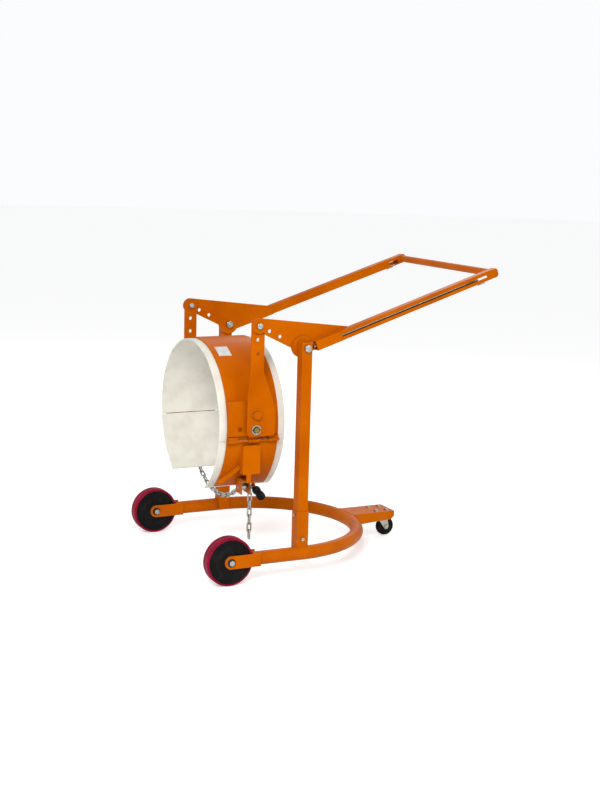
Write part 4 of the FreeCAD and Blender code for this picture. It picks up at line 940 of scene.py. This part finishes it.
def fork_paths(tube, tube_r):
    """Above and below the middle of the tube, inside and outside, along the fork plates."""
    end_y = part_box("fork_plates")[1].y + FORK_BEYOND
    paths = []
    for outward in (1, -1):
        x = tube.x + outward * (tube_r - FORK_SINK)
        for z in (tube.z + FORK_SPREAD, tube.z - FORK_SPREAD):
            paths.append([Vector((x, tube.y + FORK_BEFORE, z)), Vector((x, end_y, z))])
    return paths


def disc_path():
    """Around the foot of the latch disc."""
    low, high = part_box("latch_discs")
    centre = Vector((high.x, (low.y + high.y) / 2, (low.z + high.z) / 2))
    radius = (high.z - low.z) / 2
    turns = (math.radians(DISC_FROM_DEG + DISC_STEP_DEG * i) for i in range(DISC_STEPS + 1))
    return [centre + Vector((0, radius * math.sin(t), -radius * math.cos(t))) for t in turns]


def leg_path(tube, tube_r, bend_y):
    """Across the bend of the tube where the caster leg starts."""
    low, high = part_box("caster_leg")
    reach = tube.x + math.sqrt(max(0.0, tube_r ** 2 - (high.z - tube.z) ** 2))
    return [Vector((x, bend_y + math.sqrt(reach ** 2 - x ** 2), high.z))
            for x in evenly(low.x, high.x, LEG_STEPS)]


def holder_welds():
    """Beads where the lock boxes meet the shell."""
    low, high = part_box("lock_boxes")
    levels = evenly(low.z, high.z, BOX_STEPS)[BOX_SKIPPED:]
    paths = [[Vector((shell_x(z), y, z)) for z in levels] for y in (low.y, high.y)]
    paths.append([Vector((shell_x(high.z), low.y, high.z)), Vector((shell_x(high.z), high.y, high.z))])
    welds("holder_welds", "holder", paths + other_side(paths))


def flap_welds():
    """Beads where the chain brackets stand on the flaps."""
    low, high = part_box("left_chain_bracket")
    levels = evenly(low.z, high.z, BRACKET_STEPS)[1:-1]
    paths = [[Vector((shell_x(z), y, z)) for z in levels] for y in (low.y, high.y)]
    welds("left_flap_welds", "left_flap_body", paths, THIN_BEAD_R)
    welds("right_flap_welds", "right_flap_body", other_side(paths), THIN_BEAD_R)


def lever_welds():
    """Beads along both edges of each arm on its lever plate, and around the crossbar ends."""
    plate_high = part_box("left_lever_plate")[1]
    bar_low, bar_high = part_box("handle_crossbar")
    bar = (bar_low + bar_high) / 2
    arm = vertices_of("left_handle_arm")
    start = arm[arm[:, 1] < arm[:, 1].min() + ARM_ROOT]
    top, low = Vector(start[start[:, 2].argmax()]), Vector(start[start[:, 2].argmin()])
    along = Vector((0, top.z - low.z, low.y - top.y)).normalized()
    top.x = low.x = plate_high.x
    paths = []
    for corner, share in ((top, ARM_TOP_SHARE), (low, ARM_LOW_SHARE)):
        paths.append([corner, corner + along * ((plate_high.y - corner.y) * share)])
    paths.append([low, top])
    bar_end = Vector((bar_high.x - BEAD_R * BAR_SINK, bar.y, bar.z))
    paths.append(circle(bar_end, (bar_high.z - bar_low.z) / 2, AXLE))
    welds("lever_welds", "lift_lever", paths + other_side(paths), THIN_BEAD_R)


# ------------------------------------------------------------------ studio

def floor():
    """Wide pale floor, a little brighter where the camera sees it."""
    bpy.ops.mesh.primitive_circle_add(vertices=FLOOR_SIDES, radius=FLOOR_R, fill_type="NGON",
                                      location=(0, 0, 0))
    ground = bpy.context.object
    ground.name = "studio_floor"
    material = bpy.data.materials.new("studio_floor")
    material.use_nodes = True
    tree = material.node_tree
    shader = tree.nodes["Principled BSDF"]
    shade = mixed(tree, noise(tree, scale=3.0), *FLOOR_SHADES)
    tree.links.new(shade, shader.inputs["Base Color"])
    shader.inputs["Roughness"].default_value = FLOOR_ROUGH
    shader.inputs["Emission Color"].default_value = (*WHITE, 1.0)
    seen = add(tree, "LightPath").outputs["Is Camera Ray"]
    tree.links.new(scaled(tree, seen, FLOOR_GLOW), shader.inputs["Emission Strength"])
    ground.data.materials.append(material)


def light(name, location, size, watts, colour):
    """Round area light aimed at the dolly."""
    data = bpy.data.lights.new(name, "AREA")
    data.shape, data.size, data.energy, data.color = "DISK", size, watts, colour
    obj = bpy.data.objects.new(name, data)
    obj.location = location
    obj.rotation_mode = "QUATERNION"
    obj.rotation_quaternion = (LIGHTS_AIM - Vector(location)).to_track_quat("-Z", "Y")
    bpy.context.scene.collection.objects.link(obj)


def studio():
    """Bright surroundings, floor and lights."""
    bpy.context.scene.view_settings.view_transform = "Standard"
    world = bpy.data.worlds.new("studio")
    world.use_nodes = True
    tree = world.node_tree
    seen = add(tree, "LightPath").outputs["Is Camera Ray"]
    strength = calc(tree, "ADD", WORLD_LIGHT, scaled(tree, seen, WORLD_GLOW))
    background = tree.nodes["Background"]
    background.inputs["Color"].default_value = WORLD_COLOUR
    tree.links.new(strength, background.inputs["Strength"])
    bpy.context.scene.world = world
    floor()
    for settings in LIGHTS:
        light(*settings)


def camera():
    """Reference view, from its yaw, pitch and roll."""
    ahead = Vector((-math.cos(YAW) * math.cos(PITCH), math.sin(YAW) * math.cos(PITCH), -math.sin(PITCH)))
    level = Vector((math.sin(YAW), math.cos(YAW), 0.0))
    upright = level.cross(ahead)
    right = level * math.cos(ROLL) + upright * math.sin(ROLL)
    up = upright * math.cos(ROLL) - level * math.sin(ROLL)
    data = bpy.data.cameras.new("camera")
    data.lens, data.sensor_width, data.clip_end = LENS_MM, SENSOR_MM, CLIP_END
    obj = bpy.data.objects.new("camera", data)
    obj.matrix_world = Matrix.Translation(CAMERA_AT) @ Matrix((right, up, -ahead)).transposed().to_4x4()
    bpy.context.scene.collection.objects.link(obj)
    bpy.context.scene.camera = obj


paint_nodes()
wheels()
axle_seals()
caster_wheel()
grip()
liners()
hardware()
trunnion_hardware()
chains()
base_welds()
holder_welds()
flap_welds()
lever_welds()
studio()
camera()
bpy.context.view_layer.update()
